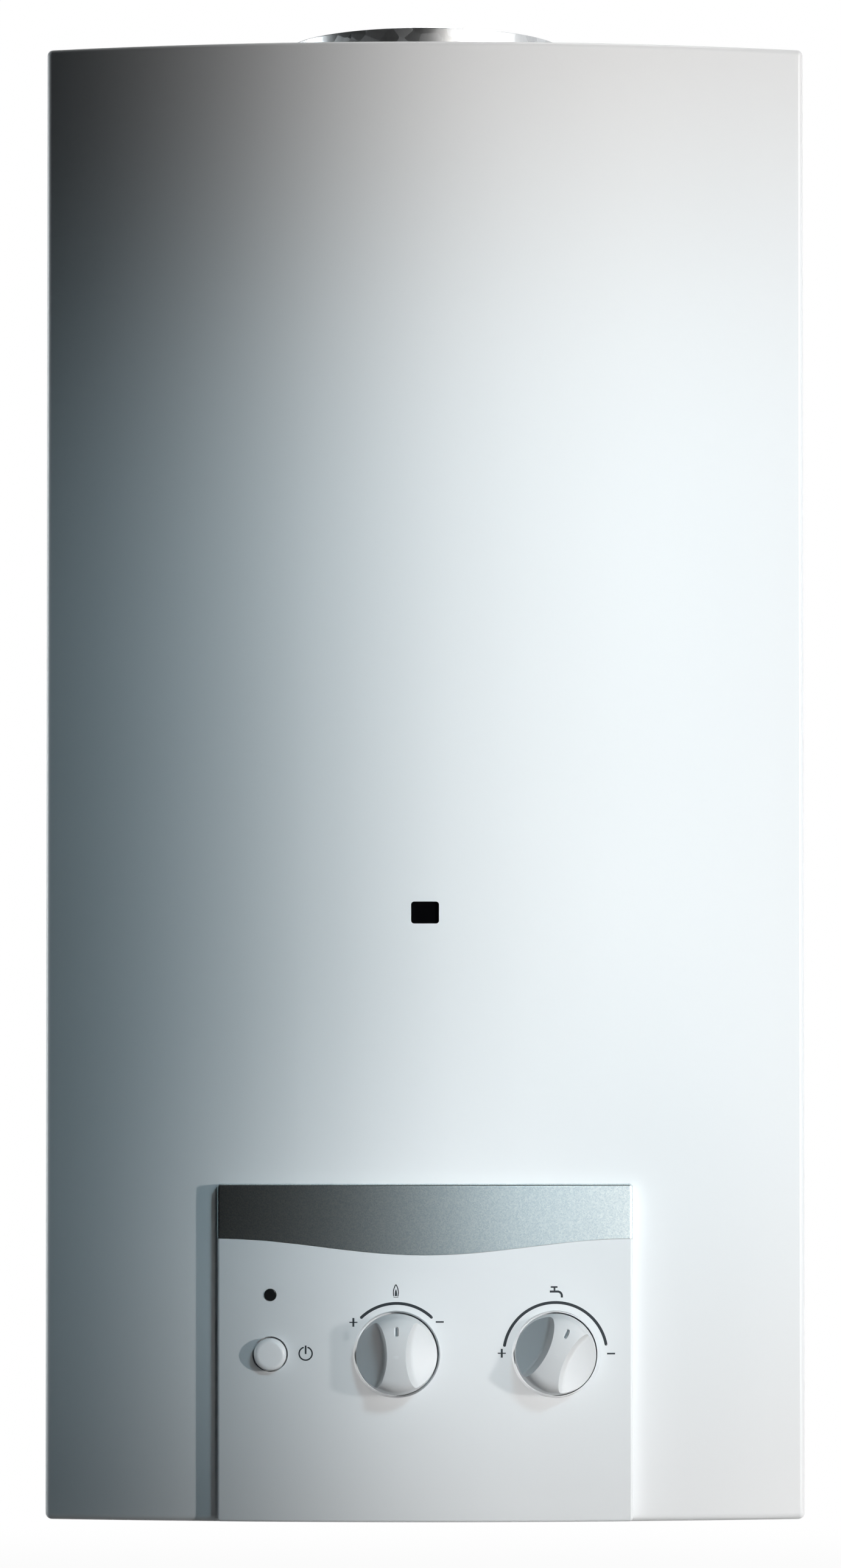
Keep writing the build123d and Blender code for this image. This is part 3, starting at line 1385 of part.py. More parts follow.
def above_split(gap):
    """Region of the front view above the band's S-shaped lower edge, less a gap."""
    half = panel_width / 2
    reach = [half * step / split_steps for step in range(-split_steps, split_steps + 1)]
    dip = (band_middle_height - band_end_height) / 2
    edge = [(x, panel_top - band_end_height - dip * (1 + cos(pi * x / half)) - gap) for x in reach]
    with BuildLine() as outline:
        Spline(*edge, tangents=[(1, 0), (1, 0)])
        Polyline(edge[-1], (panel_width, edge[-1][1]), (panel_width, case_top), (-panel_width, case_top),
                 (-panel_width, edge[0][1]), edge[0])
    return make_face(outline.edges())


with BuildPart() as panel_blank:
    with BuildSketch(Plane.XY.offset(panel_bottom)):
        add(bowed_plan(panel_width, panel_proud, panel_gap))
    extrude(amount=panel_height)
    fillet(panel_blank.edges().filter_by(Axis.Y), panel_corner)
    fillet(panel_blank.faces().sort_by(Axis.Y)[0].edges(), panel_edge)
    with BuildSketch(Plane.XY.offset(panel_bottom + panel_wall)):
        add(bowed_plan(panel_width - 2 * panel_wall, skin_rear, -panel_wall))
    extrude(amount=panel_height - 2 * panel_wall, mode=Mode.SUBTRACT)

with BuildPart() as control_panel:
    add(panel_blank.part)
    with BuildSketch(Plane.XZ):
        add(above_split(band_gap))
    extrude(amount=2 * case_depth, mode=Mode.SUBTRACT)
    with BuildSketch(Plane.XY.offset(split_low - band_gap)):
        add(bowed_plan(panel_width - 2 * panel_wall, skin_rear, tongue_rear))
    extrude(amount=-tongue_root)
    with BuildSketch(Plane.XY.offset(split_low - band_gap)):
        add(bowed_plan(panel_width - 2 * (panel_wall + seat), skin_rear - seat, tongue_rear))
    extrude(amount=tongue_height)
    for knob_x in (gas_knob_x, water_knob_x):
        with BuildSketch(Plane.XZ.offset(-cup_floor(knob_x) - cup_wall)):
            with Locations((knob_x, knob_z)):
                Circle(cup_outer)
        extrude(amount=cup_depth + cup_wall - panel_wall / 2)
        with BuildSketch(Plane.XZ.offset(-cup_floor(knob_x))):
            with Locations((knob_x, knob_z)):
                Circle(cup_radius)
        extrude(amount=2 * cup_depth, mode=Mode.SUBTRACT)
        rim_top = (knob_x, front_y(knob_x, panel_proud), knob_z + cup_radius)
        rim = control_panel.edges().sort_by_distance(rim_top)[0]
        panel_front = control_panel.faces().sort_by(SortBy.AREA)[-1]
        chamfer(rim, dish_depth, dish_width, reference=panel_front)
        with BuildSketch(Plane.XZ.offset(-cup_floor(knob_x))):
            with Locations((knob_x, knob_z)):
                Circle(spindle_radius + spindle_hole_play)
        extrude(amount=-cup_wall, mode=Mode.SUBTRACT)
    with BuildSketch(Plane.XZ.offset(-button_face - button_boss_depth)):
        with Locations((button_x, knob_z)):
            Circle(button_radius + button_gap + panel_wall)
    extrude(amount=button_boss_depth - panel_wall / 2)
    with BuildSketch(Plane.XZ.offset(-board_front)):
        with Locations((button_x, board_z)):
            with GridLocations(board_width - 2 * post_radius, board_height - 2 * post_radius, 2, 2):
                Circle(post_radius)
    extrude(amount=board_behind_face - panel_wall / 2)
    with BuildSketch(Plane.XZ.offset(-board_front)):
        with Locations((button_x, knob_z)):
            Circle(button_radius + button_gap)
        with Locations((button_x, led_z)):
            Circle(led_radius + led_play)
    extrude(amount=2 * board_behind_face, mode=Mode.SUBTRACT)
keep(control_panel, "control_panel")

# Band: the blank's upper part, seated over the panel's tongue
with BuildPart() as panel_band:
    add(panel_blank.part)
    with BuildSketch(Plane.XZ):
        add(above_split(0))
    extrude(amount=2 * case_depth, mode=Mode.INTERSECT)
keep(panel_band, "panel_band")

# Power button: domed cap, flange behind the panel, stem on to the switch
flange_front = button_face + button_boss_depth + seat
flange_rear = flange_front + button_flange_height
stem_end = board_front - switch_height - switch_gap - button_travel
with BuildPart() as power_button:
    with BuildSketch(Plane.XZ.offset(-flange_front)):
        with Locations((button_x, knob_z)):
            Circle(button_radius)
    extrude(amount=flange_front - button_face + button_proud)
    fillet(power_button.faces().sort_by(Axis.Y)[0].edges(), button_dome)
    with BuildSketch(Plane.XZ.offset(-flange_front)):
        with Locations((button_x, knob_z)):
            Circle(button_radius + button_flange)
    extrude(amount=-button_flange_height)
    with BuildSketch(Plane.XZ.offset(-flange_rear)):
        with Locations((button_x, knob_z)):
            Circle(button_stem)
    extrude(amount=flange_rear - stem_end)
keep(power_button, "power_button")

button_spring_room = board_front - flange_rear
button_spring_height = button_spring_room - 2 * (button_spring_wire + running)
with BuildPart() as button_spring:
    with BuildLine() as button_coil:
        Helix(
            pitch=button_spring_height / button_spring_turns,
            height=button_spring_height,
            radius=button_radius,
            center=(button_x, flange_rear + button_spring_wire + running, knob_z),
            direction=(0, 1, 0),
        )
    sweep(ring_section(button_coil.line, button_spring_wire, button_spring_wire), path=button_coil.line,
          is_frenet=True)
keep(button_spring, "button_spring")

with BuildPart() as switch_board:
    with BuildSketch(Plane.XZ.offset(-board_front)):
        with Locations((button_x, board_z)):
            Rectangle(board_width, board_height)
    extrude(amount=-board_sheet)
    with BuildSketch(Plane.XZ.offset(-board_front)):
        with Locations((button_x, knob_z)):
            Rectangle(switch_size, switch_size)
    extrude(amount=switch_height)
keep(switch_board, "switch_board")

with BuildPart() as status_lens:
    with BuildSketch(Plane.XZ.offset(-board_front)):
        with Locations((button_x, led_z)):
            Circle(led_radius)
    extrude(amount=board_behind_face + led_proud)
    fillet(status_lens.faces().sort_by(Axis.Y)[0].edges(), led_proud)
keep(status_lens, "status_lens")

# Sight glass behind the casing's window
with BuildPart() as sight_glass:
    with BuildSketch(Plane.XZ.offset(case_depth - case_sheet - 2 * seat)):
        with Locations((0, window_z)):
            Rectangle(glass_width, glass_height)
    extrude(amount=-glass_sheet)
keep(sight_glass, "sight_glass")

# Leads, each laid from its piece to the control box
lead_top = box_top + lead_rise
lead_front = electrode_front - lead_reach
lead_rear = back_face - box_depth / 2
with BuildPart() as electrode_leads:
    for side, end_x in ((-1, box_x - box_width / 5), (1, box_x + box_width / 9)):
        lead_x = side * electrode_spacing / 2
        lead_route = pipe_route(
            [
                (lead_x, electrode_front, electrode_z),
                (lead_x, lead_front, electrode_z),
                (lead_x, lead_front, electrode_z - lead_fall + side * lead_step),
                (end_x, stack_y, lead_top + side * lead_step / 2),
                (end_x, lead_rear, lead_top + side * lead_step / 2),
                (end_x, lead_rear, box_top),
            ],
            lead_bend,
        )
        sweep(ring_section(lead_route, lead_radius, lead_radius), path=lead_route)
keep(electrode_leads, "electrode_leads")

lead_wall_y = back_face - lead_from_back
spill_x = sensor_face + 2 * lead_bend
spill_end_x = box_x - box_width / 3
with BuildPart() as sensor_leads:
    spill_route = pipe_route(
        [
            (sensor_face, stack_y, sensor_z),
            (spill_x, stack_y, sensor_z),
            (spill_x, lead_wall_y, sensor_z - 3 * lead_bend),
            (spill_end_x, lead_wall_y, sensor_z - 5 * lead_bend),
            (spill_end_x, lead_wall_y, box_top),
        ],
        lead_bend,
    )
    sweep(ring_section(spill_route, lead_radius, lead_radius), path=spill_route)
    panel_route = pipe_route(
        [
            (button_x, panel_board_rear, led_z),
            (button_x, panel_board_rear + 2 * lead_bend, led_z),
            (box_x, lid_face - 2 * lead_bend, box_z),
            (box_x, lid_face, box_z),
        ],
        lead_bend,
    )
    sweep(ring_section(panel_route, lead_radius, lead_radius), path=panel_route)
    switch_x = valve_right + neck_length / 2
    switch_top = knob_z + neck_radius + seat + microswitch_height
    switch_end_x = box_x + box_width / 4
    switch_end_z = box_z + box_height / 4
    switch_route = pipe_route(
        [
            (switch_x, valve_y, switch_top),
            (switch_x, valve_y, switch_top + 2 * lead_bend),
            (valve_left, valve_y + 2 * lead_bend, switch_end_z - lead_bend),
            (switch_end_x, lid_face - 2 * lead_bend, switch_end_z),
            (switch_end_x, lid_face, switch_end_z),
        ],
        lead_bend,
    )
    sweep(ring_section(switch_route, lead_radius, lead_radius), path=switch_route)
keep(sensor_leads, "sensor_leads")
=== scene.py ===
"""Wall-hung gas water heater: finishes, printed marks and pointer lines on the model, and a plain studio."""

from math import cos, pi, radians, sin, sqrt

import bmesh
import bpy
from bpy.props import FloatProperty, FloatVectorProperty, PointerProperty
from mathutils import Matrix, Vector


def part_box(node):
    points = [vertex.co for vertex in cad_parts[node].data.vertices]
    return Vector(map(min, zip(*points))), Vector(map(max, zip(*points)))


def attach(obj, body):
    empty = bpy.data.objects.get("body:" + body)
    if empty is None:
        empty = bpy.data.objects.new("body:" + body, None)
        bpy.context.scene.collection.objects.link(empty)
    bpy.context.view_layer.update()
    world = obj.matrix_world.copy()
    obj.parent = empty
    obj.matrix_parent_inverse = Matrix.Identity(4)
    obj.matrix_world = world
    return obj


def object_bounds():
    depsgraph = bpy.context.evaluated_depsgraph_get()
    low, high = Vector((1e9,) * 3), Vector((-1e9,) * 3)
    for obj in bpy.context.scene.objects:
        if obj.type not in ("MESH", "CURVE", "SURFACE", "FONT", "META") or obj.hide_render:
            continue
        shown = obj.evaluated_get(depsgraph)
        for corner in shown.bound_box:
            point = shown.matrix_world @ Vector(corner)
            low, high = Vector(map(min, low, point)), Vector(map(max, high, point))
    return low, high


bl_info = {
    "name": "Gas Water Heater",
    "version": (1, 0, 0),
    "blender": (4, 5, 0),
    "location": "View3D > Sidebar > Water Heater",
    "description": "Finishes, printed marks, small trim and a studio for a wall-hung gas water heater",
    "category": "Object",
}

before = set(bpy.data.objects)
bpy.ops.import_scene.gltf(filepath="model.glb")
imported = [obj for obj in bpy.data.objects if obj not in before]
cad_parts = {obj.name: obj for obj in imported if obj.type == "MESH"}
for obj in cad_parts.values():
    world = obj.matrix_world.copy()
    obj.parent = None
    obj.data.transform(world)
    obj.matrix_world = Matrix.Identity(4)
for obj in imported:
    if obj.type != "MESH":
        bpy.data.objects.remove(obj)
cad_box = [list(corner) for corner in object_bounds()]

MM = 0.001
THREAD_PITCH = 1.81 * MM      # of the three connections
BATTERY_TOP_END = 14 * MM     # height of the battery's coppery end
FLAP_ROOM = 25 * MM           # from the open battery flap down to the floor
FLOOR_RADIUS = 12             # metres
SCREEN_START = -120           # degrees, where the dark screen starts on the left
SCREEN_STEP = 8.9             # degrees from one fold of the screen to the next
SCREEN_STEPS = 20
SCREEN_AXIS_Y = -0.1          # metres, of the upright axis that the screen stands round
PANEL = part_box("control_panel")
FACE_RADIUS = 657.5 * MM      # bow of the panel's front, in plan
WATER_KNOB_TURN = 25          # degrees clockwise that the water knob is set at rest
POINTER_FLOOR = 25.34 * MM    # knob's base to the floor of its pointer groove
POINTER_INNER = 8.9 * MM      # knob's axis to the near end of the pointer's line
POINTER_OUTER = 12.8 * MM     # and to its far end
POINTER_HALF = 0.4 * MM       # half the line's width
POINTER_LIFT = 0.06 * MM      # thickness of the line


def middle(node):
    """Middle of a node's box, seen from the front."""
    low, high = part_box(node)
    return (low[0] + high[0]) / 2, (low[2] + high[2]) / 2


def face_y(x):
    """Y of the panel's bowed front at x."""
    return PANEL[0][1] + FACE_RADIUS - sqrt(FACE_RADIUS**2 - x**2)


def colour(title, about, value):
    """A colour that a user can change."""
    return FloatVectorProperty(name=title, description=about, subtype="COLOR", size=3, min=0, max=1,
                               default=value)


def length(title, about, value):
    """A length that a user can change."""
    return FloatProperty(name=title, description=about, unit="LENGTH", subtype="DISTANCE", min=0,
                         default=value)


class HeaterColours(bpy.types.PropertyGroup):
    enamel: colour("Enamel", "Stoved enamel of the casing", (0.84, 0.855, 0.865))
    panel: colour("Panel", "Moulded control panel", (0.765, 0.79, 0.805))
    knob: colour("Knobs", "Gas knob and water knob", (0.79, 0.805, 0.815))
    button: colour("Button", "Power button", (0.9, 0.91, 0.92))
    band: colour("Band", "Silver band along the panel's top", (0.78, 0.92, 0.98))
    ink: colour("Ink", "Printed scales and symbols", (0.018, 0.024, 0.03))
    # painted shade: grey of the lines that stand in for the shade in the knobs' pointer grooves
    pointer: colour("Pointers", "Lines in the knobs' pointer grooves", (0.16, 0.19, 0.21))
    zinc: colour("Zinc", "Galvanised sheet", (0.62, 0.64, 0.655))
    copper: colour("Copper", "Heat exchanger, coil and pipes", (0.76, 0.40, 0.26))
    brass: colour("Brass", "Turned fittings", (0.76, 0.58, 0.28))
    floor: colour("Floor", "Studio floor", (0.45, 0.46, 0.465))


class HeaterSizes(bpy.types.PropertyGroup):
    peel: length("Orange peel", "Spacing of the enamel's faint ripple", 2.4 * MM)
    spangle: length("Spangle", "Size of the zinc crystals", 7 * MM)
    print_height: length("Ink height", "How far the ink stands on the panel", 0.04 * MM)
    scale_line: length("Scale line", "Width of the knobs' scale arcs", 1.33 * MM)
    gas_scale: length("Gas scale", "Radius of the gas knob's scale", 23.25 * MM)
    water_scale: length("Water scale", "Radius of the water knob's scale", 23.6 * MM)


class Term:
    """A value inside a material, so that shader sums read like ordinary ones."""

    def __init__(self, finish, socket):
        self.finish = finish
        self.socket = socket

    def _sum(self, operation, first, second):
        return self.finish.node("ShaderNodeMath", {"operation": operation}, {0: first, 1: second})

    def __add__(self, other):
        return self._sum("ADD", self, other)

    def __radd__(self, other):
        return self._sum("ADD", other, self)

    def __sub__(self, other):
        return self._sum("SUBTRACT", self, other)

    def __rsub__(self, other):
        return self._sum("SUBTRACT", other, self)

    def __mul__(self, other):
        return self._sum("MULTIPLY", self, other)

    def __rmul__(self, other):
        return self._sum("MULTIPLY", other, self)

    def __lt__(self, other):
        return self._sum("LESS_THAN", self, other)


class Finish:
    """A material being mixed: its surface shader and the nodes that vary it over the piece."""

    def __init__(self, title, **surface):
        self.material = bpy.data.materials.new(title)
        self.material.use_nodes = True
        self.tree = self.material.node_tree
        self.shader = self.tree.nodes["Principled BSDF"]
        self.place = self.node("ShaderNodeTexCoord", output="Object")
        for name, value in surface.items():
            self.set(name.replace("_", " ").title().replace("Ior", "IOR"), value)

    def put(self, socket, value):
        if isinstance(value, Term):
            self.tree.links.new(value.socket, socket)
        elif hasattr(socket.default_value, "__len__") and len(socket.default_value) == 4:
            socket.default_value = (*value[:3], 1)
        else:
            socket.default_value = value

    def set(self, name, value):
        """Give one of the shader's sockets a constant or a varying value."""
        self.put(self.shader.inputs[name], value)

    def node(self, kind, settings=None, inputs=None, output=0):
        """Add a node, set it, feed it, and return one of its outputs."""
        made = self.tree.nodes.new(kind)
        for name, value in (settings or {}).items():
            if name == "stops":
                self.stops(made.color_ramp.elements, value)
            else:
                setattr(made, name, value)
        for name, value in (inputs or {}).items():
            self.put(made.inputs[name], value)
        return Term(self, made.outputs[output])

    @staticmethod
    def stops(elements, stops):
        while len(elements) < len(stops):
            elements.new(1)
        for element, (position, tint) in zip(elements, stops):
            element.position = position
            element.color = (*tint, 1)

    def stretched(self, along):
        """Coordinates on the piece, drawn out by a factor along each axis."""
        return self.node("ShaderNodeVectorMath", {"operation": "MULTIPLY"}, {0: self.place, 1: along})

    def noise(self, size, detail=2.0, along=None):
        """Soft noise from 0 to 1 with features of about this size, in metres."""
        where = self.stretched(along) if along else self.place
        return self.node("ShaderNodeTexNoise", {}, {"Vector": where, "Scale": 1 / size, "Detail": detail})

    def cells(self, size, feature="F1", output="Distance"):
        """Cells of about this size, in metres."""
        inputs = {"Vector": self.place, "Scale": 1 / size}
        return self.node("ShaderNodeTexVoronoi", {"feature": feature}, inputs, output)

    def step(self, value, low, high):
        """0 below low, 1 above high, and smooth between them."""
        return self.node("ShaderNodeMapRange", {"interpolation_type": "SMOOTHSTEP"},
                         {"Value": value, "From Min": low, "From Max": high}, "Result")

    def axis(self, letter):
        """The coordinate along X, Y or Z, in metres."""
        return self.node("ShaderNodeSeparateXYZ", {}, {0: self.place}, letter)

    def ripple(self, letter, pitch):
        """Rings that repeat along an axis, from 0 to 1."""
        turn = self.axis(letter) * (2 * pi / pitch)
        return self.node("ShaderNodeMath", {"operation": "SINE"}, {0: turn}) * 0.5 + 0.5

    def ramp(self, value, *stops):
        """A colour by value."""
        return self.node("ShaderNodeValToRGB", {"stops": stops}, {"Fac": value}, "Color")

    def blend(self, share, first, second):
        """The first colour at share 0, and the second at 1."""
        made = self.tree.nodes.new("ShaderNodeMix")
        made.data_type = "RGBA"
        colours = [s for s in made.inputs if s.type == "RGBA"]
        self.put(next(s for s in made.inputs if s.type == "VALUE"), share)
        self.put(colours[0], first)
        self.put(colours[1], second)
        return Term(self, next(s for s in made.outputs if s.type == "RGBA"))

    def relief(self, *layers):
        """Raise the surface: each layer is a height from 0 to 1 and its depth in metres."""
        normal = None
        for height, depth in layers:
            inputs = {"Height": height, "Distance": depth, "Strength": 1.0}
            if normal:
                inputs["Normal"] = normal
            normal = self.node("ShaderNodeBump", {}, inputs, "Normal")
        self.set("Normal", normal)


def shade(tint, factor):
    """A colour made darker or lighter by a factor."""
    return tuple(min(1.0, part * factor) for part in tint)


def stoved_enamel(tint, peel):
    """White enamel on pressed sheet: glossy, with a faint orange peel and a very slight waviness."""
    mix = Finish("stoved_enamel", specular_ior_level=0.25)
    mix.set("Base Color", mix.blend(mix.noise(0.12), shade(tint, 0.985), shade(tint, 1.01)))
    mix.set("Roughness", 0.32 + 0.06 * mix.noise(1.1 * MM))
    mix.relief((mix.noise(90 * MM), 0.05 * MM), (mix.noise(peel), 0.012 * MM),
               (mix.noise(0.45 * MM), 0.0015 * MM))
    return mix.material


def moulded_white(title, tint, grain, roughness):
    """Moulded white plastic with the fine grain of its mould."""
    mix = Finish(title, specular_ior_level=0.45)
    mix.set("Base Color", mix.blend(mix.noise(35 * MM), shade(tint, 0.985), shade(tint, 1.01)))
    mix.set("Roughness", roughness + 0.08 * mix.noise(grain))
    mix.relief((mix.noise(grain), 0.010 * MM), (mix.noise(25 * MM), 0.02 * MM))
    return mix.material


def silver_lacquer(tint):
    """Silver lacquer with fine metal flakes under it."""
    mix = Finish("silver_lacquer")
    flakes = mix.cells(0.5 * MM, output="Color")
    glint = mix.node("ShaderNodeRGBToBW", {}, {0: flakes})
    mix.set("Base Color", mix.blend(glint, shade(tint, 0.82), shade(tint, 1.18)))
    mix.set("Metallic", 0.95 + 0.05 * glint)
    mix.set("Roughness", 0.36 + 0.05 * mix.noise(0.8 * MM))
    mix.relief((mix.cells(0.5 * MM), 0.006 * MM), (mix.noise(0.35 * MM), 0.008 * MM))
    return mix.material


def matt_paint(title, tint):
    """Pad-printed ink, almost matt, a little thin at places. It also paints the grey lines of painted shade
    in the knobs' pointer grooves.
    """
    mix = Finish(title, specular_ior_level=0.35)
    mix.set("Base Color", mix.blend(mix.noise(0.5 * MM), shade(tint, 0.85), shade(tint, 1.25)))
    mix.set("Roughness", 0.48 + 0.1 * mix.noise(0.3 * MM))
    mix.relief((mix.noise(0.2 * MM), 0.003 * MM))
    return mix.material


def black_lens():
    """Smoked lens with a high gloss."""
    mix = Finish("black_lens", specular_ior_level=0.6)
    mix.set("Base Color", mix.blend(mix.noise(3 * MM), (0.010, 0.011, 0.012), (0.018, 0.019, 0.02)))
    mix.set("Roughness", 0.06 + 0.04 * mix.noise(2 * MM))
    mix.relief((mix.noise(1.5 * MM), 0.002 * MM))
    return mix.material


def shade_dark_glass():
    """Heat-proof pane, tinted almost black: painted shade for the dark inside seen through the sight window,
    with a faint random tone.
    """
    mix = Finish("shade_dark_glass", transmission_weight=0.6, ior=1.47)
    # painted shade: a near-black base colour stands in for the dark chamber behind the window
    mix.set("Base Color", mix.blend(mix.noise(9 * MM), (0.004, 0.004, 0.005), (0.008, 0.008, 0.009)))
    mix.set("Roughness", 0.04 + 0.06 * mix.noise(4 * MM))
    mix.relief((mix.noise(6 * MM), 0.01 * MM))
    return mix.material


def galvanised_sheet(tint, spangle):
    """Hot-dip zinc: crystals that each catch the light their own way, and a dull bloom here and there."""
    mix = Finish("galvanised_sheet")
    crystal = mix.node("ShaderNodeRGBToBW", {}, {0: mix.cells(spangle, output="Color")})
    feather = mix.noise(0.9 * MM, 4, (1, 1, 0.35))
    bloom = mix.step(mix.noise(45 * MM, 4), 0.52, 0.75)
    zinc = mix.blend(crystal * 0.7 + feather * 0.3, shade(tint, 0.72), shade(tint, 1.22))
    mix.set("Base Color", mix.blend(bloom * 0.5, zinc, (0.60, 0.62, 0.63)))
    mix.set("Metallic", 0.96 - 0.35 * bloom)
    mix.set("Roughness", 0.24 + 0.22 * crystal + 0.18 * bloom)
    mix.relief((crystal, 0.02 * MM), (feather, 0.008 * MM))
    return mix.material


def worked_metal(title, tint, dull, roughness, stain=0.5, draw=(1, 1, 1), grain=0.6 * MM):
    """Bare metal with drawing marks, stained darker where heat and hands have been."""
    mix = Finish(title)
    marks = mix.noise(grain, 3, draw)
    patch = mix.step(mix.noise(22 * MM, 5), 0.45, 0.78) * stain
    metal = mix.blend(marks, shade(tint, 0.86), shade(tint, 1.1))
    mix.set("Base Color", mix.blend(patch, metal, dull))
    mix.set("Metallic", 1.0 - 0.3 * patch)
    mix.set("Roughness", roughness + 0.1 * marks + 0.25 * patch)
    mix.relief((marks, 0.01 * MM), (mix.noise(14 * MM), 0.04 * MM))
    return mix.material


def die_casting():
    """Blasted die-cast alloy: an even fine pebble with a few darker flow marks."""
    mix = Finish("die_casting", metallic=0.9)
    pebble = mix.cells(0.55 * MM)
    flow = mix.step(mix.noise(18 * MM, 3), 0.5, 0.8)
    mix.set("Base Color", mix.blend(flow * 0.4 + pebble * 0.3, (0.60, 0.61, 0.62), (0.42, 0.43, 0.44)))
    mix.set("Roughness", 0.46 + 0.12 * pebble)
    mix.relief((pebble, 0.03 * MM), (mix.noise(6 * MM), 0.03 * MM))
    return mix.material


def threaded_brass(tint, pitch, thread_top):
    """Turned brass whose lower part is cut with a thread."""
    mix = Finish("threaded_brass", metallic=1.0)
    on_thread = mix.axis("Z") < thread_top
    marks = mix.noise(0.5 * MM, 3, (1, 1, 5))
    groove = mix.ripple("Z", pitch)
    mix.set("Base Color", mix.blend(marks, shade(tint, 0.82), shade(tint, 1.1)))
    mix.set("Roughness", 0.24 + 0.14 * marks)
    mix.relief((groove * on_thread, 0.55 * MM), (marks, 0.008 * MM))
    return mix.material


def burner_sheet(flame_z):
    """Stainless sheet, straw and blue near the flames."""
    mix = Finish("burner_sheet")
    heat = mix.step(mix.axis("Z") + 8 * MM * mix.noise(9 * MM), flame_z - 24 * MM, flame_z + 4 * MM)
    marks = mix.noise(0.4 * MM, 3, (0.2, 1, 1))
    steel = mix.ramp(heat, (0.0, (0.50, 0.50, 0.50)), (0.45, (0.50, 0.42, 0.27)), (0.7, (0.36, 0.22, 0.24)),
                     (1.0, (0.16, 0.20, 0.32)))
    mix.set("Base Color", mix.blend(marks * 0.35, steel, (0.32, 0.32, 0.33)))
    mix.set("Metallic", 0.95 - 0.2 * heat)
    mix.set("Roughness", 0.34 + 0.14 * marks)
    mix.relief((marks, 0.012 * MM))
    return mix.material


def technical_plastic(title, tint, grain, roughness):
    """Plain technical moulding with a matt grain and slightly paler high spots."""
    mix = Finish(title, specular_ior_level=0.4)
    grains = mix.cells(grain)
    mix.set("Base Color", mix.blend(grains * 0.7, shade(tint, 0.9), shade(tint, 1.25)))
    mix.set("Roughness", roughness + 0.12 * mix.noise(2 * MM))
    mix.relief((grains, 0.02 * MM))
    return mix.material


def lacquered_board():
    """Circuit board: green lacquer over copper tracks, with tinned pads."""
    mix = Finish("lacquered_board", coat_weight=0.5, coat_roughness=0.1)
    track = mix.node("ShaderNodeTexBrick", {"offset": 0.37},
                     {"Vector": mix.place, "Scale": 220, "Mortar Size": 0.02,
                      "Color1": (0, 0, 0), "Color2": (0.2, 0.2, 0.2), "Mortar": (1, 1, 1)}, "Fac")
    pads = mix.cells(3.2 * MM) < 0.16
    lacquer = mix.blend(track, (0.012, 0.10, 0.045), (0.05, 0.22, 0.10))
    mix.set("Base Color", mix.blend(pads, lacquer, (0.62, 0.62, 0.60)))
    mix.set("Metallic", pads * 0.9)
    mix.set("Roughness", 0.36 + 0.08 * mix.noise(1 * MM))
    mix.relief((track, 0.03 * MM), (pads * 1.0, 0.05 * MM))
    return mix.material


def glazed_ceramic():
    """White glazed insulator, faintly speckled."""
    mix = Finish("glazed_ceramic", coat_weight=0.6, coat_roughness=0.06)
    speck = mix.cells(1.3 * MM) < 0.12
    mix.set("Base Color", mix.blend(speck * 0.5, (0.80, 0.78, 0.72), (0.55, 0.50, 0.42)))
    mix.set("Roughness", 0.22 + 0.1 * mix.noise(1 * MM))
    mix.relief((mix.noise(2 * MM), 0.02 * MM))
    return mix.material


def battery_jacket(ring_z):
    """Plain battery jacket: dark film below, a coppery top end above a height, and no print."""
    mix = Finish("battery_jacket", coat_weight=0.4, coat_roughness=0.15)
    ring = mix.step(mix.axis("Z"), ring_z, ring_z + 0.4 * MM)
    film = mix.blend(mix.noise(0.3 * MM, 2, (1, 1, 0.2)), (0.022, 0.024, 0.028), (0.04, 0.042, 0.048))
    mix.set("Base Color", mix.blend(ring, film, (0.50, 0.36, 0.20)))
    mix.set("Metallic", 0.2 + 0.5 * ring)
    mix.set("Roughness", 0.3 + 0.1 * mix.noise(3 * MM))
    mix.relief((mix.noise(8 * MM), 0.02 * MM))
    return mix.material


def dress(material, *nodes):
    """Put a material on every slot of these nodes."""
    for name in nodes:
        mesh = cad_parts[name].data
        mesh.materials.clear()
        mesh.materials.append(material)


def placed(title, form, material):
    """Turn a form into an object of the scene, with one material."""
    mesh = bpy.data.meshes.new(title)
    form.to_mesh(mesh)
    form.free()
    mesh.materials.append(material)
    made = bpy.data.objects.new(title, mesh)
    bpy.context.collection.objects.link(made)
    return made


def painted_on(title, form, material, body):
    """Finish a piece that rides on a body: print, and the lines of painted shade in the pointer grooves."""
    bmesh.ops.recalc_face_normals(form, faces=form.faces)
    piece = placed(title, form, material)
    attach(piece, body)


def panel_print(title, outlines, material, raise_by):
    """Ink on the panel's bowed front. Each outline is a strip: pairs of points, left and right."""
    form = bmesh.new()
    for strip in outlines:
        rows = [[form.verts.new((x, face_y(x) - lift, z)) for x, z in pair for lift in (raise_by, -raise_by)]
                for pair in strip]
        for first, second in zip(rows, rows[1:]):
            for one, other in ((0, 2), (2, 3), (3, 1), (1, 0)):
                form.faces.new((first[one], first[other], second[other], second[one]))
        for end in (rows[0], rows[-1]):
            form.faces.new((end[0], end[2], end[3], end[1]))
    painted_on(title, form, material, "heater")


def pointer_line(title, knob, body, clockwise, material):
    """A grey line on the floor of a knob's pointer groove: painted shade that stands in for the groove's
    shade.
    """
    x, z = middle(knob)
    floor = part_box(knob)[1][1] - POINTER_FLOOR
    turn = radians(clockwise)
    along, across = Vector((sin(turn), 0, cos(turn))), Vector((cos(turn), 0, -sin(turn)))
    corners = [(POINTER_INNER, -1), (POINTER_INNER, 1), (POINTER_OUTER, 1), (POINTER_OUTER, -1)]
    form = bmesh.new()
    rings = []
    for lift in (0.0, POINTER_LIFT):
        start = Vector((x, floor - lift, z))
        rings.append([form.verts.new(start + along * reach + across * side * POINTER_HALF)
                      for reach, side in corners])
    bottom, top = rings
    form.faces.new(top)
    form.faces.new(bottom[::-1])
    for place in range(4):
        following = (place + 1) % 4
        form.faces.new((bottom[place], bottom[following], top[following], top[place]))
    painted_on(title, form, material, body)


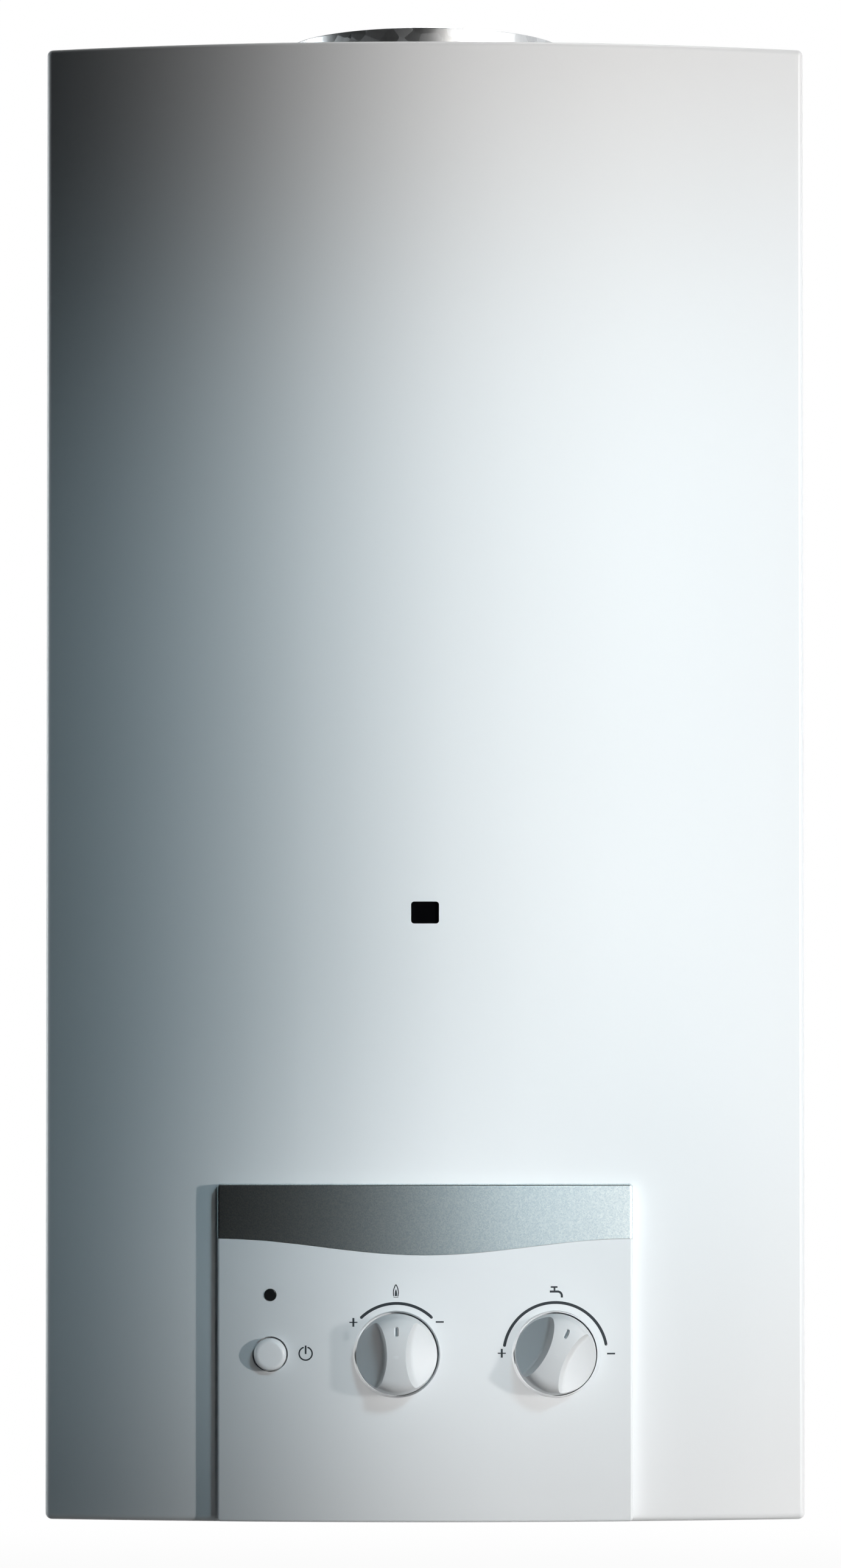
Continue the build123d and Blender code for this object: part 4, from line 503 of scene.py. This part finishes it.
def stroke(path, width, round_ends=False):
    """Strip of a given width along a path seen from the front."""
    points = [Vector(point) for point in path]
    strip = []
    for place, point in enumerate(points):
        before = points[max(place - 1, 0)]
        after = points[min(place + 1, len(points) - 1)]
        along = (after - before).normalized()
        side = Vector((-along[1], along[0])) * width / 2
        strip.append((tuple(point + side), tuple(point - side)))
    if round_ends:
        strip = cap(points[0], points[0] - points[1], width) + strip
        strip += cap(points[-1], points[-1] - points[-2], width)[::-1]
    return strip


def cap(end, outward, width):
    """Pairs of points for a half-round end, from its tip inwards."""
    outward = outward.normalized()
    side = Vector((outward[1], -outward[0])) * width / 2
    pairs = []
    for turn in range(1, 6):
        angle = turn * pi / 12
        reach = outward * (width / 2) * cos(angle)
        pairs.append((tuple(end + reach + side * sin(angle)), tuple(end + reach - side * sin(angle))))
    return pairs


def arc(centre, radius, start, stop, count=48):
    """Points of an arc. Angles are in degrees, clockwise from straight up."""
    angles = [radians(start + (stop - start) * step / count) for step in range(count + 1)]
    return [(centre[0] + radius * sin(turn), centre[1] + radius * cos(turn)) for turn in angles]


def line(centre, across, up, count=1):
    """Points from one end of a straight stroke to the other, about its middle."""
    return [(centre[0] + across * (step / count - 0.5), centre[1] + up * (step / count - 0.5))
            for step in range(count + 1)]


def moved(centre, across, up):
    """A point beside another, in millimetres."""
    return centre[0] + across * MM, centre[1] + up * MM


def plus_sign(centre):
    """A plus: a thin level bar and a broader upright one."""
    return [stroke(line(centre, 3.7 * MM, 0, 4), 0.5 * MM), stroke(line(centre, 0, 4 * MM), 0.85 * MM)]


def minus_sign(centre):
    """A minus: one level bar."""
    return [stroke(line(centre, 3.7 * MM, 0, 4), 0.72 * MM)]


def leaf(centre, half_width, bottom, top, count=24):
    """Right half of a flame's outline, from its foot to its tip."""
    points = []
    for step in range(count + 1):
        share = step / count
        belly = sin(pi * (0.28 + 0.72 * share) ** 1.05) ** 0.8 if share < 1 else 0
        points.append(moved(centre, half_width * belly, bottom + (top - bottom) * share))
    return points


def flame_sign(centre):
    """A burner flame: a pointed outline, a smaller flame inside it, and its base line."""
    outer = leaf(centre, 1.12, -2.55, 2.85)
    mirrored = [(2 * centre[0] - x, z) for x, z in outer]
    inner = leaf(centre, 0.5, -2.45, 0.75)
    filled = [((2 * centre[0] - x, z), (x + 0.01 * MM, z)) for x, z in inner]
    return [stroke(outer, 0.46 * MM), stroke(mirrored, 0.46 * MM), filled,
            stroke(line(moved(centre, 0, -2.95), 2.2 * MM, 0, 4), 0.25 * MM)]


def tap_sign(knob):
    """A tap: handle, stem, and a body that bends down into the spout."""
    body = [moved(knob, -2.55, 28.6), moved(knob, 1.0, 28.6)]
    bend = [moved(knob, 1.0 + 1.96 * sin(turn), 26.64 + 1.96 * cos(turn))
            for turn in (radians(9 * step) for step in range(1, 11))]
    return [stroke(line(moved(knob, -0.57, 30.67), 3.12 * MM, 0, 4), 0.71 * MM),
            stroke([moved(knob, -0.4, 30.5), moved(knob, -0.4, 28.7)], 0.78 * MM),
            stroke([*body, *bend, moved(knob, 2.96, 25.85)], 0.98 * MM)]


def power_sign(centre):
    """An open ring with a bar through its gap."""
    ring = arc(centre, 2.98 * MM, 21.7, 338.3)
    bar = [moved(centre, 0, 3.69), moved(centre, 0, -0.2)]
    return [stroke(ring, 0.64 * MM, True), stroke(bar, 0.78 * MM)]


class HEATER_OT_casing(bpy.types.Operator):
    """Enamel the casing, and tint its sight glass almost black as painted shade"""

    bl_idname = "heater.casing"
    bl_label = "Casing"

    def execute(self, context):
        colours, sizes = context.scene.heater_colours, context.scene.heater_sizes
        dress(stoved_enamel(colours.enamel, sizes.peel), "front_case")
        # painted shade: the sight glass is tinted almost black for the dark chamber behind it
        dress(shade_dark_glass(), "sight_glass")
        return {"FINISHED"}


class HEATER_OT_controls(bpy.types.Operator):
    """Finish the panel, its band, the knobs, the button and the status lens"""

    bl_idname = "heater.controls"
    bl_label = "Panel and Controls"

    def execute(self, context):
        colours = context.scene.heater_colours
        dress(moulded_white("panel_moulding", colours.panel, 0.5 * MM, 0.42), "control_panel")
        dress(moulded_white("knob_moulding", colours.knob, 0.35 * MM, 0.40), "gas_knob", "water_knob")
        dress(moulded_white("button_moulding", colours.button, 0.35 * MM, 0.22), "power_button")
        dress(silver_lacquer(colours.band), "panel_band")
        dress(black_lens(), "status_lens")
        return {"FINISHED"}


class HEATER_OT_marks(bpy.types.Operator):
    """Print the scales and symbols on the panel, and lay grey lines of painted shade in the knobs' pointer
    grooves
    """

    bl_idname = "heater.marks"
    bl_label = "Printed Marks"

    def execute(self, context):
        sizes = context.scene.heater_sizes
        ink = matt_paint("matt_paint", context.scene.heater_colours.ink)
        # painted shade: the grey for the lines in the knobs' pointer grooves
        pale = matt_paint("pointer_groove_shade", context.scene.heater_colours.pointer)
        gas, water, button = middle("gas_knob"), middle("water_knob"), middle("power_button")
        marks = {
            "gas_scale": [stroke(arc(gas, sizes.gas_scale, -43.6, 43.2), sizes.scale_line, True)],
            "water_scale": [stroke(arc(water, sizes.water_scale, -80, 79, 80), sizes.scale_line, True)],
            "gas_signs": [*plus_sign(moved(gas, -19.7, 14.6)), *minus_sign(moved(gas, 19.7, 14.8))],
            "water_signs": [*plus_sign(moved(water, -24.5, 0.5)), *minus_sign(moved(water, 25.5, 0.2))],
            "flame_symbol": flame_sign(moved(gas, -0.3, 29.0)),
            "tap_symbol": tap_sign(water),
            "power_symbol": power_sign(moved(button, 16.2, 0.3)),
        }
        for title, outlines in marks.items():
            panel_print(title, outlines, ink, sizes.print_height)
        # painted shade: grey lines that stand in for the shade in the knobs' pointer grooves
        pointer_line("gas_pointer", "gas_knob", "gas_control", 0, pale)
        pointer_line("water_pointer", "water_knob", "temperature_control", WATER_KNOB_TURN, pale)
        return {"FINISHED"}


class HEATER_OT_sheet_metal(bpy.types.Operator):
    """Galvanise the back plate, hood, collar and brackets"""

    bl_idname = "heater.sheet_metal"
    bl_label = "Galvanised Sheet"

    def execute(self, context):
        colours, sizes = context.scene.heater_colours, context.scene.heater_sizes
        dress(galvanised_sheet(colours.zinc, sizes.spangle), "back_plate", "draught_hood", "flue_collar",
              "stack_brackets", "valve_bracket", "connection_plate", "electrode_bracket")
        return {"FINISHED"}


class HEATER_OT_copper(bpy.types.Operator):
    """Finish the copper heat exchanger, chamber, coil and pipes"""

    bl_idname = "heater.copper"
    bl_label = "Copper"

    def execute(self, context):
        copper = context.scene.heater_colours.copper
        drawn = worked_metal("drawn_copper", copper, (0.16, 0.08, 0.055), 0.24, 0.6, (1, 1, 0.25))
        dress(drawn, "exchanger_casing", "exchanger_fins", "exchanger_tubes", "combustion_chamber",
              "chamber_coil", "manifold_pipe", "cold_water_pipe", "hot_water_pipe", "gas_pipe")
        return {"FINISHED"}


class HEATER_OT_valves(bpy.types.Operator):
    """Finish the gas valve, the water switch and their fittings"""

    bl_idname = "heater.valves"
    bl_label = "Valves and Fittings"

    def execute(self, context):
        brass = context.scene.heater_colours.brass
        thread_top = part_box("connection_plate")[0][2]
        dress(die_casting(), "gas_valve_body", "gas_valve_bonnet")
        turned = worked_metal("turned_brass", brass, (0.26, 0.17, 0.08), 0.2, 0.35, (1, 6, 1))
        dress(turned, "valve_neck", "water_switch_body", "water_switch_cover", "gas_injectors", "gas_spindle",
              "selector_spindle")
        dress(threaded_brass(brass, THREAD_PITCH, thread_top), "pipe_connections")
        bright = worked_metal("bright_steel", (0.58, 0.59, 0.60), (0.28, 0.27, 0.26), 0.22, 0.3, (4, 1, 1))
        dress(bright, "tappet_rod", "diaphragm_plate", "poppet_spring", "button_spring",
              "water_switch_screws", "case_screws", "flap_hinge_pin", "battery_contacts", "gas_manifold")
        rubber = technical_plastic("valve_rubber", (0.018, 0.018, 0.018), 0.8 * MM, 0.62)
        dress(rubber, "gas_poppet", "diaphragm")
        dress(technical_plastic("black_moulding", (0.022, 0.022, 0.024), 0.5 * MM, 0.42), "microswitch",
              "gas_solenoid", "spillage_sensor", "overheat_limiter")
        return {"FINISHED"}


class HEATER_OT_burner(bpy.types.Operator):
    """Heat-tint the burner"""

    bl_idname = "heater.burner"
    bl_label = "Burner"

    def execute(self, context):
        dress(burner_sheet(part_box("burner_bars")[1][2]), "burner_frame", "burner_bars")
        dress(glazed_ceramic(), "electrodes")
        return {"FINISHED"}


class HEATER_OT_ignition(bpy.types.Operator):
    """Finish the control box, the boards, the battery and the leads"""

    bl_idname = "heater.ignition"
    bl_label = "Ignition"

    def execute(self, context):
        dress(technical_plastic("grey_moulding", (0.16, 0.165, 0.175), 0.6 * MM, 0.46), "control_box",
              "control_box_lid", "battery_holder", "battery_flap")
        dress(lacquered_board(), "ignition_board", "switch_board")
        dress(battery_jacket(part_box("battery_cell")[1][2] - BATTERY_TOP_END), "battery_cell")
        dress(technical_plastic("silicone_lead", (0.40, 0.39, 0.37), 0.9 * MM, 0.5), "electrode_leads")
        dress(technical_plastic("black_lead", (0.03, 0.03, 0.032), 0.9 * MM, 0.5), "sensor_leads")
        return {"FINISHED"}


# the three key lamps stand in one place: position, aim, width, height, spread in degrees
KEY = ((1.3, -1.0, -0.12), (0.35, -0.14, -0.22), 0.7, 2.2, 6.6)
KEY_COLOUR = (1.0, 0.97, 0.95)
LAMPS = [
    # name, position, aim, width, height, spread in degrees, watts, colour
    ("key_room", *KEY, 3.15, KEY_COLOUR),
    ("key_knobs", *KEY, 3.6, KEY_COLOUR),
    ("key_hard", *KEY, 1.4, KEY_COLOUR),
    ("soft_front", (0.41, -1.11, 0.47), (0.04, -0.24, -0.025), 0.36, 0.48, 16.5, 0.2, (0.61, 0.86, 0.98)),
    ("soft_high", (0.45, -1.25, 0.3), (0.07, -0.24, 0.12), 0.16, 0.5, 10, 0.027, (1.0, 0.94, 0.88)),
    ("panel_front", (0.2, -1.5, -0.07), (-0.012, -0.247, -0.245), 0.14, 0.16, 9, 0.0125, (1.0, 0.98, 0.98)),
    ("band_front", (0.28, -1.45, 0.05), (0.055, -0.245, -0.19), 0.14, 0.16, 9, 0.006, (0.8, 0.93, 1.0)),
    ("edge_left", (-1.32, 0.25, 0.1), (-0.17, -0.1, 0.0), 0.3, 0.8, 24, 0.7, (0.93, 0.98, 1.0)),
    ("back", (0.7, 1.8, 0.6), (0.0, 0.0, 0.0), 0.4, 0.8, 24, 0.04, (1.0, 1.0, 1.0)),
    ("top", (0.2, 0.35, 1.7), (0.0, -0.02, 0.3), 0.4, 0.3, 24, 0.35, (1.0, 1.0, 1.0)),
]


def lamp(name, place, aim, width, height, spread, watts, tint):
    """A soft rectangular lamp that looks at a point, with a grid that narrows its beam."""
    light = bpy.data.lights.new(name, "AREA")
    light.shape = "RECTANGLE"
    light.size, light.size_y = width, height
    light.spread = radians(spread)
    light.energy = watts
    light.color = tint
    made = bpy.data.objects.new(name, light)
    made.location = place
    made.rotation_euler = (Vector(aim) - Vector(place)).to_track_quat("-Z", "Y").to_euler()
    bpy.context.collection.objects.link(made)
    return made


def light_link(lamp_name, role, state, *nodes):
    """Limit what a lamp falls on, or what stops its light: to some nodes, or to all but them."""
    linked = bpy.data.collections.new(f"{lamp_name}_{role}")
    for name in nodes:
        linked.objects.link(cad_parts[name])
    for item in linked.collection_objects:
        item.light_linking.link_state = state
    setattr(bpy.data.objects[lamp_name].light_linking, role, linked)


def seen_directly(tree):
    """1 for what the camera, gloss and glass see directly."""
    path = tree.nodes.new("ShaderNodeLightPath")
    seen = path.outputs["Is Camera Ray"]
    for ray in ("Is Glossy Ray", "Is Transmission Ray"):
        either = tree.nodes.new("ShaderNodeMath")
        either.operation = "MAXIMUM"
        tree.links.new(seen, either.inputs[0])
        tree.links.new(path.outputs[ray], either.inputs[1])
        seen = either.outputs[0]
    return seen


def studio_world(fill):
    """A weak, cool, even fill, and a white background where it is seen directly."""
    world = bpy.data.worlds.new("studio_world")
    bpy.context.scene.world = world
    world.use_nodes = True
    tree = world.node_tree
    tree.nodes.clear()
    dim, white = tree.nodes.new("ShaderNodeBackground"), tree.nodes.new("ShaderNodeBackground")
    dim.inputs["Color"].default_value = (*fill, 1)
    dim.inputs["Strength"].default_value = 1
    white.inputs["Color"].default_value = (1, 1, 1, 1)
    mixed = tree.nodes.new("ShaderNodeMixShader")
    tree.links.new(seen_directly(tree), mixed.inputs[0])
    tree.links.new(dim.outputs[0], mixed.inputs[1])
    tree.links.new(white.outputs[0], mixed.inputs[2])
    tree.links.new(mixed.outputs[0], tree.nodes.new("ShaderNodeOutputWorld").inputs[0])


def studio_floor(tint, level):
    """A broad pale floor under the heater: it keeps the heater's shadow, and is see-through from below."""
    mix = Finish("floor_paint", base_color=tint, roughness=0.9, specular_ior_level=0.1)
    tree = mix.tree
    glow = tree.nodes.new("ShaderNodeEmission")
    glow.inputs["Color"].default_value = (1, 1, 1, 1)
    away = mix.node("ShaderNodeVectorMath", {"operation": "LENGTH"}, {0: mix.place}, "Value")
    share = (0.95 + 0.05 * mix.step(away, 0.3, 0.9)) * Term(mix, seen_directly(tree))
    mixed = tree.nodes.new("ShaderNodeMixShader")
    tree.links.new(share.socket, mixed.inputs[0])
    tree.links.new(mix.shader.outputs[0], mixed.inputs[1])
    tree.links.new(glow.outputs[0], mixed.inputs[2])
    one_way = tree.nodes.new("ShaderNodeMixShader")
    tree.links.new(mix.node("ShaderNodeNewGeometry", output="Backfacing").socket, one_way.inputs[0])
    tree.links.new(mixed.outputs[0], one_way.inputs[1])
    tree.links.new(tree.nodes.new("ShaderNodeBsdfTransparent").outputs[0], one_way.inputs[2])
    tree.links.new(one_way.outputs[0], tree.nodes["Material Output"].inputs["Surface"])
    form = bmesh.new()
    bmesh.ops.create_circle(form, cap_ends=True, segments=96, radius=FLOOR_RADIUS)
    for face in form.faces:
        face.normal_update()
        if face.normal.z < 0:
            face.normal_flip()
    floor = placed("studio_floor", form, mix.material)
    floor.location = (0, 0, level)


def dark_screen(level):
    """A black cloth in front of the heater, shown to gloss alone: it starts level with the heater's foot."""
    # reach in front of the heater and height, in metres
    profile = [(0.27, 0.002), (2.0, 0.002), (3.4, 0.002), (4.2, 0.25), (4.6, 1.1), (4.6, 2.6), (4.0, 4.2),
               (2.6, 5.2), (1.2, 5.6)]
    turns = [radians(SCREEN_START + SCREEN_STEP * step) for step in range(SCREEN_STEPS + 1)]
    form = bmesh.new()
    grid = [[form.verts.new((reach * sin(turn), SCREEN_AXIS_Y - reach * cos(turn), level + height))
             for reach, height in profile] for turn in turns]
    for near, far in zip(grid, grid[1:]):
        for step in range(len(profile) - 1):
            form.faces.new((near[step], near[step + 1], far[step + 1], far[step]))
    cloth = Finish("black_cloth", base_color=(0.004, 0.004, 0.005), roughness=1.0, specular_ior_level=0.0)
    screen = placed("dark_screen", form, cloth.material)
    for ray in ("camera", "diffuse", "transmission", "shadow"):
        setattr(screen, "visible_" + ray, False)


def studio_camera():
    """A long lens in front of the heater, at the height of its panel and tipped up a little."""
    lens = bpy.data.cameras.new("studio_camera")
    lens.sensor_width = 36
    lens.lens = 142.6
    lens.shift_x = -0.0029
    lens.shift_y = 0.132
    camera = bpy.data.objects.new("studio_camera", lens)
    camera.location = (0, -3.084, -0.1635)
    camera.rotation_euler = (radians(91.34), 0, 0)
    bpy.context.collection.objects.link(camera)
    bpy.context.scene.camera = camera


class HEATER_OT_studio(bpy.types.Operator):
    """Set the floor, the lamps, the background and the camera"""

    bl_idname = "heater.studio"
    bl_label = "Studio"

    def execute(self, context):
        studio_world((0.001, 0.004, 0.006))
        flap_low, flap_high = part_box("battery_flap")
        flap_swing = flap_high[1] - flap_low[1]
        studio_floor(context.scene.heater_colours.floor, flap_low[2] - flap_swing - FLAP_ROOM)
        dark_screen(cad_box[0][2])
        for settings in LAMPS:
            lamp(*settings)
        knobs = ("gas_knob", "water_knob")
        light_link("key_room", "blocker_collection", "EXCLUDE", *knobs)
        light_link("key_room", "receiver_collection", "EXCLUDE", *knobs)
        light_link("key_knobs", "receiver_collection", "INCLUDE", *knobs)
        light_link("edge_left", "receiver_collection", "EXCLUDE", "control_panel", "panel_band")
        for front in ("soft_front", "soft_high", "panel_front"):
            light_link(front, "receiver_collection", "EXCLUDE", "panel_band")
        light_link("band_front", "receiver_collection", "INCLUDE", "panel_band")
        studio_camera()
        context.scene.view_settings.view_transform = "Standard"
        return {"FINISHED"}


OPERATORS = (HEATER_OT_casing, HEATER_OT_controls, HEATER_OT_marks, HEATER_OT_sheet_metal, HEATER_OT_copper,
             HEATER_OT_valves, HEATER_OT_burner, HEATER_OT_ignition, HEATER_OT_studio)


class HEATER_PT_panel(bpy.types.Panel):
    """Sizes, colours and steps of the water heater"""

    bl_idname = "HEATER_PT_panel"
    bl_label = "Water Heater"
    bl_space_type = "VIEW_3D"
    bl_region_type = "UI"
    bl_category = "Water Heater"

    def draw(self, context):
        for group in (context.scene.heater_colours, context.scene.heater_sizes):
            for name in group.__annotations__:
                self.layout.prop(group, name)
        for operator in OPERATORS:
            self.layout.operator(operator.bl_idname)


CLASSES = (HeaterColours, HeaterSizes, *OPERATORS, HEATER_PT_panel)


def register():
    for kind in CLASSES:
        bpy.utils.register_class(kind)
    bpy.types.Scene.heater_colours = PointerProperty(type=HeaterColours)
    bpy.types.Scene.heater_sizes = PointerProperty(type=HeaterSizes)


def unregister():
    del bpy.types.Scene.heater_sizes
    del bpy.types.Scene.heater_colours
    for kind in reversed(CLASSES):
        bpy.utils.unregister_class(kind)


def main():
    register()
    bpy.ops.heater.casing()
    bpy.ops.heater.controls()
    bpy.ops.heater.marks()
    bpy.ops.heater.sheet_metal()
    bpy.ops.heater.copper()
    bpy.ops.heater.valves()
    bpy.ops.heater.burner()
    bpy.ops.heater.ignition()
    bpy.ops.heater.studio()


if __name__ == "__main__":
    main()
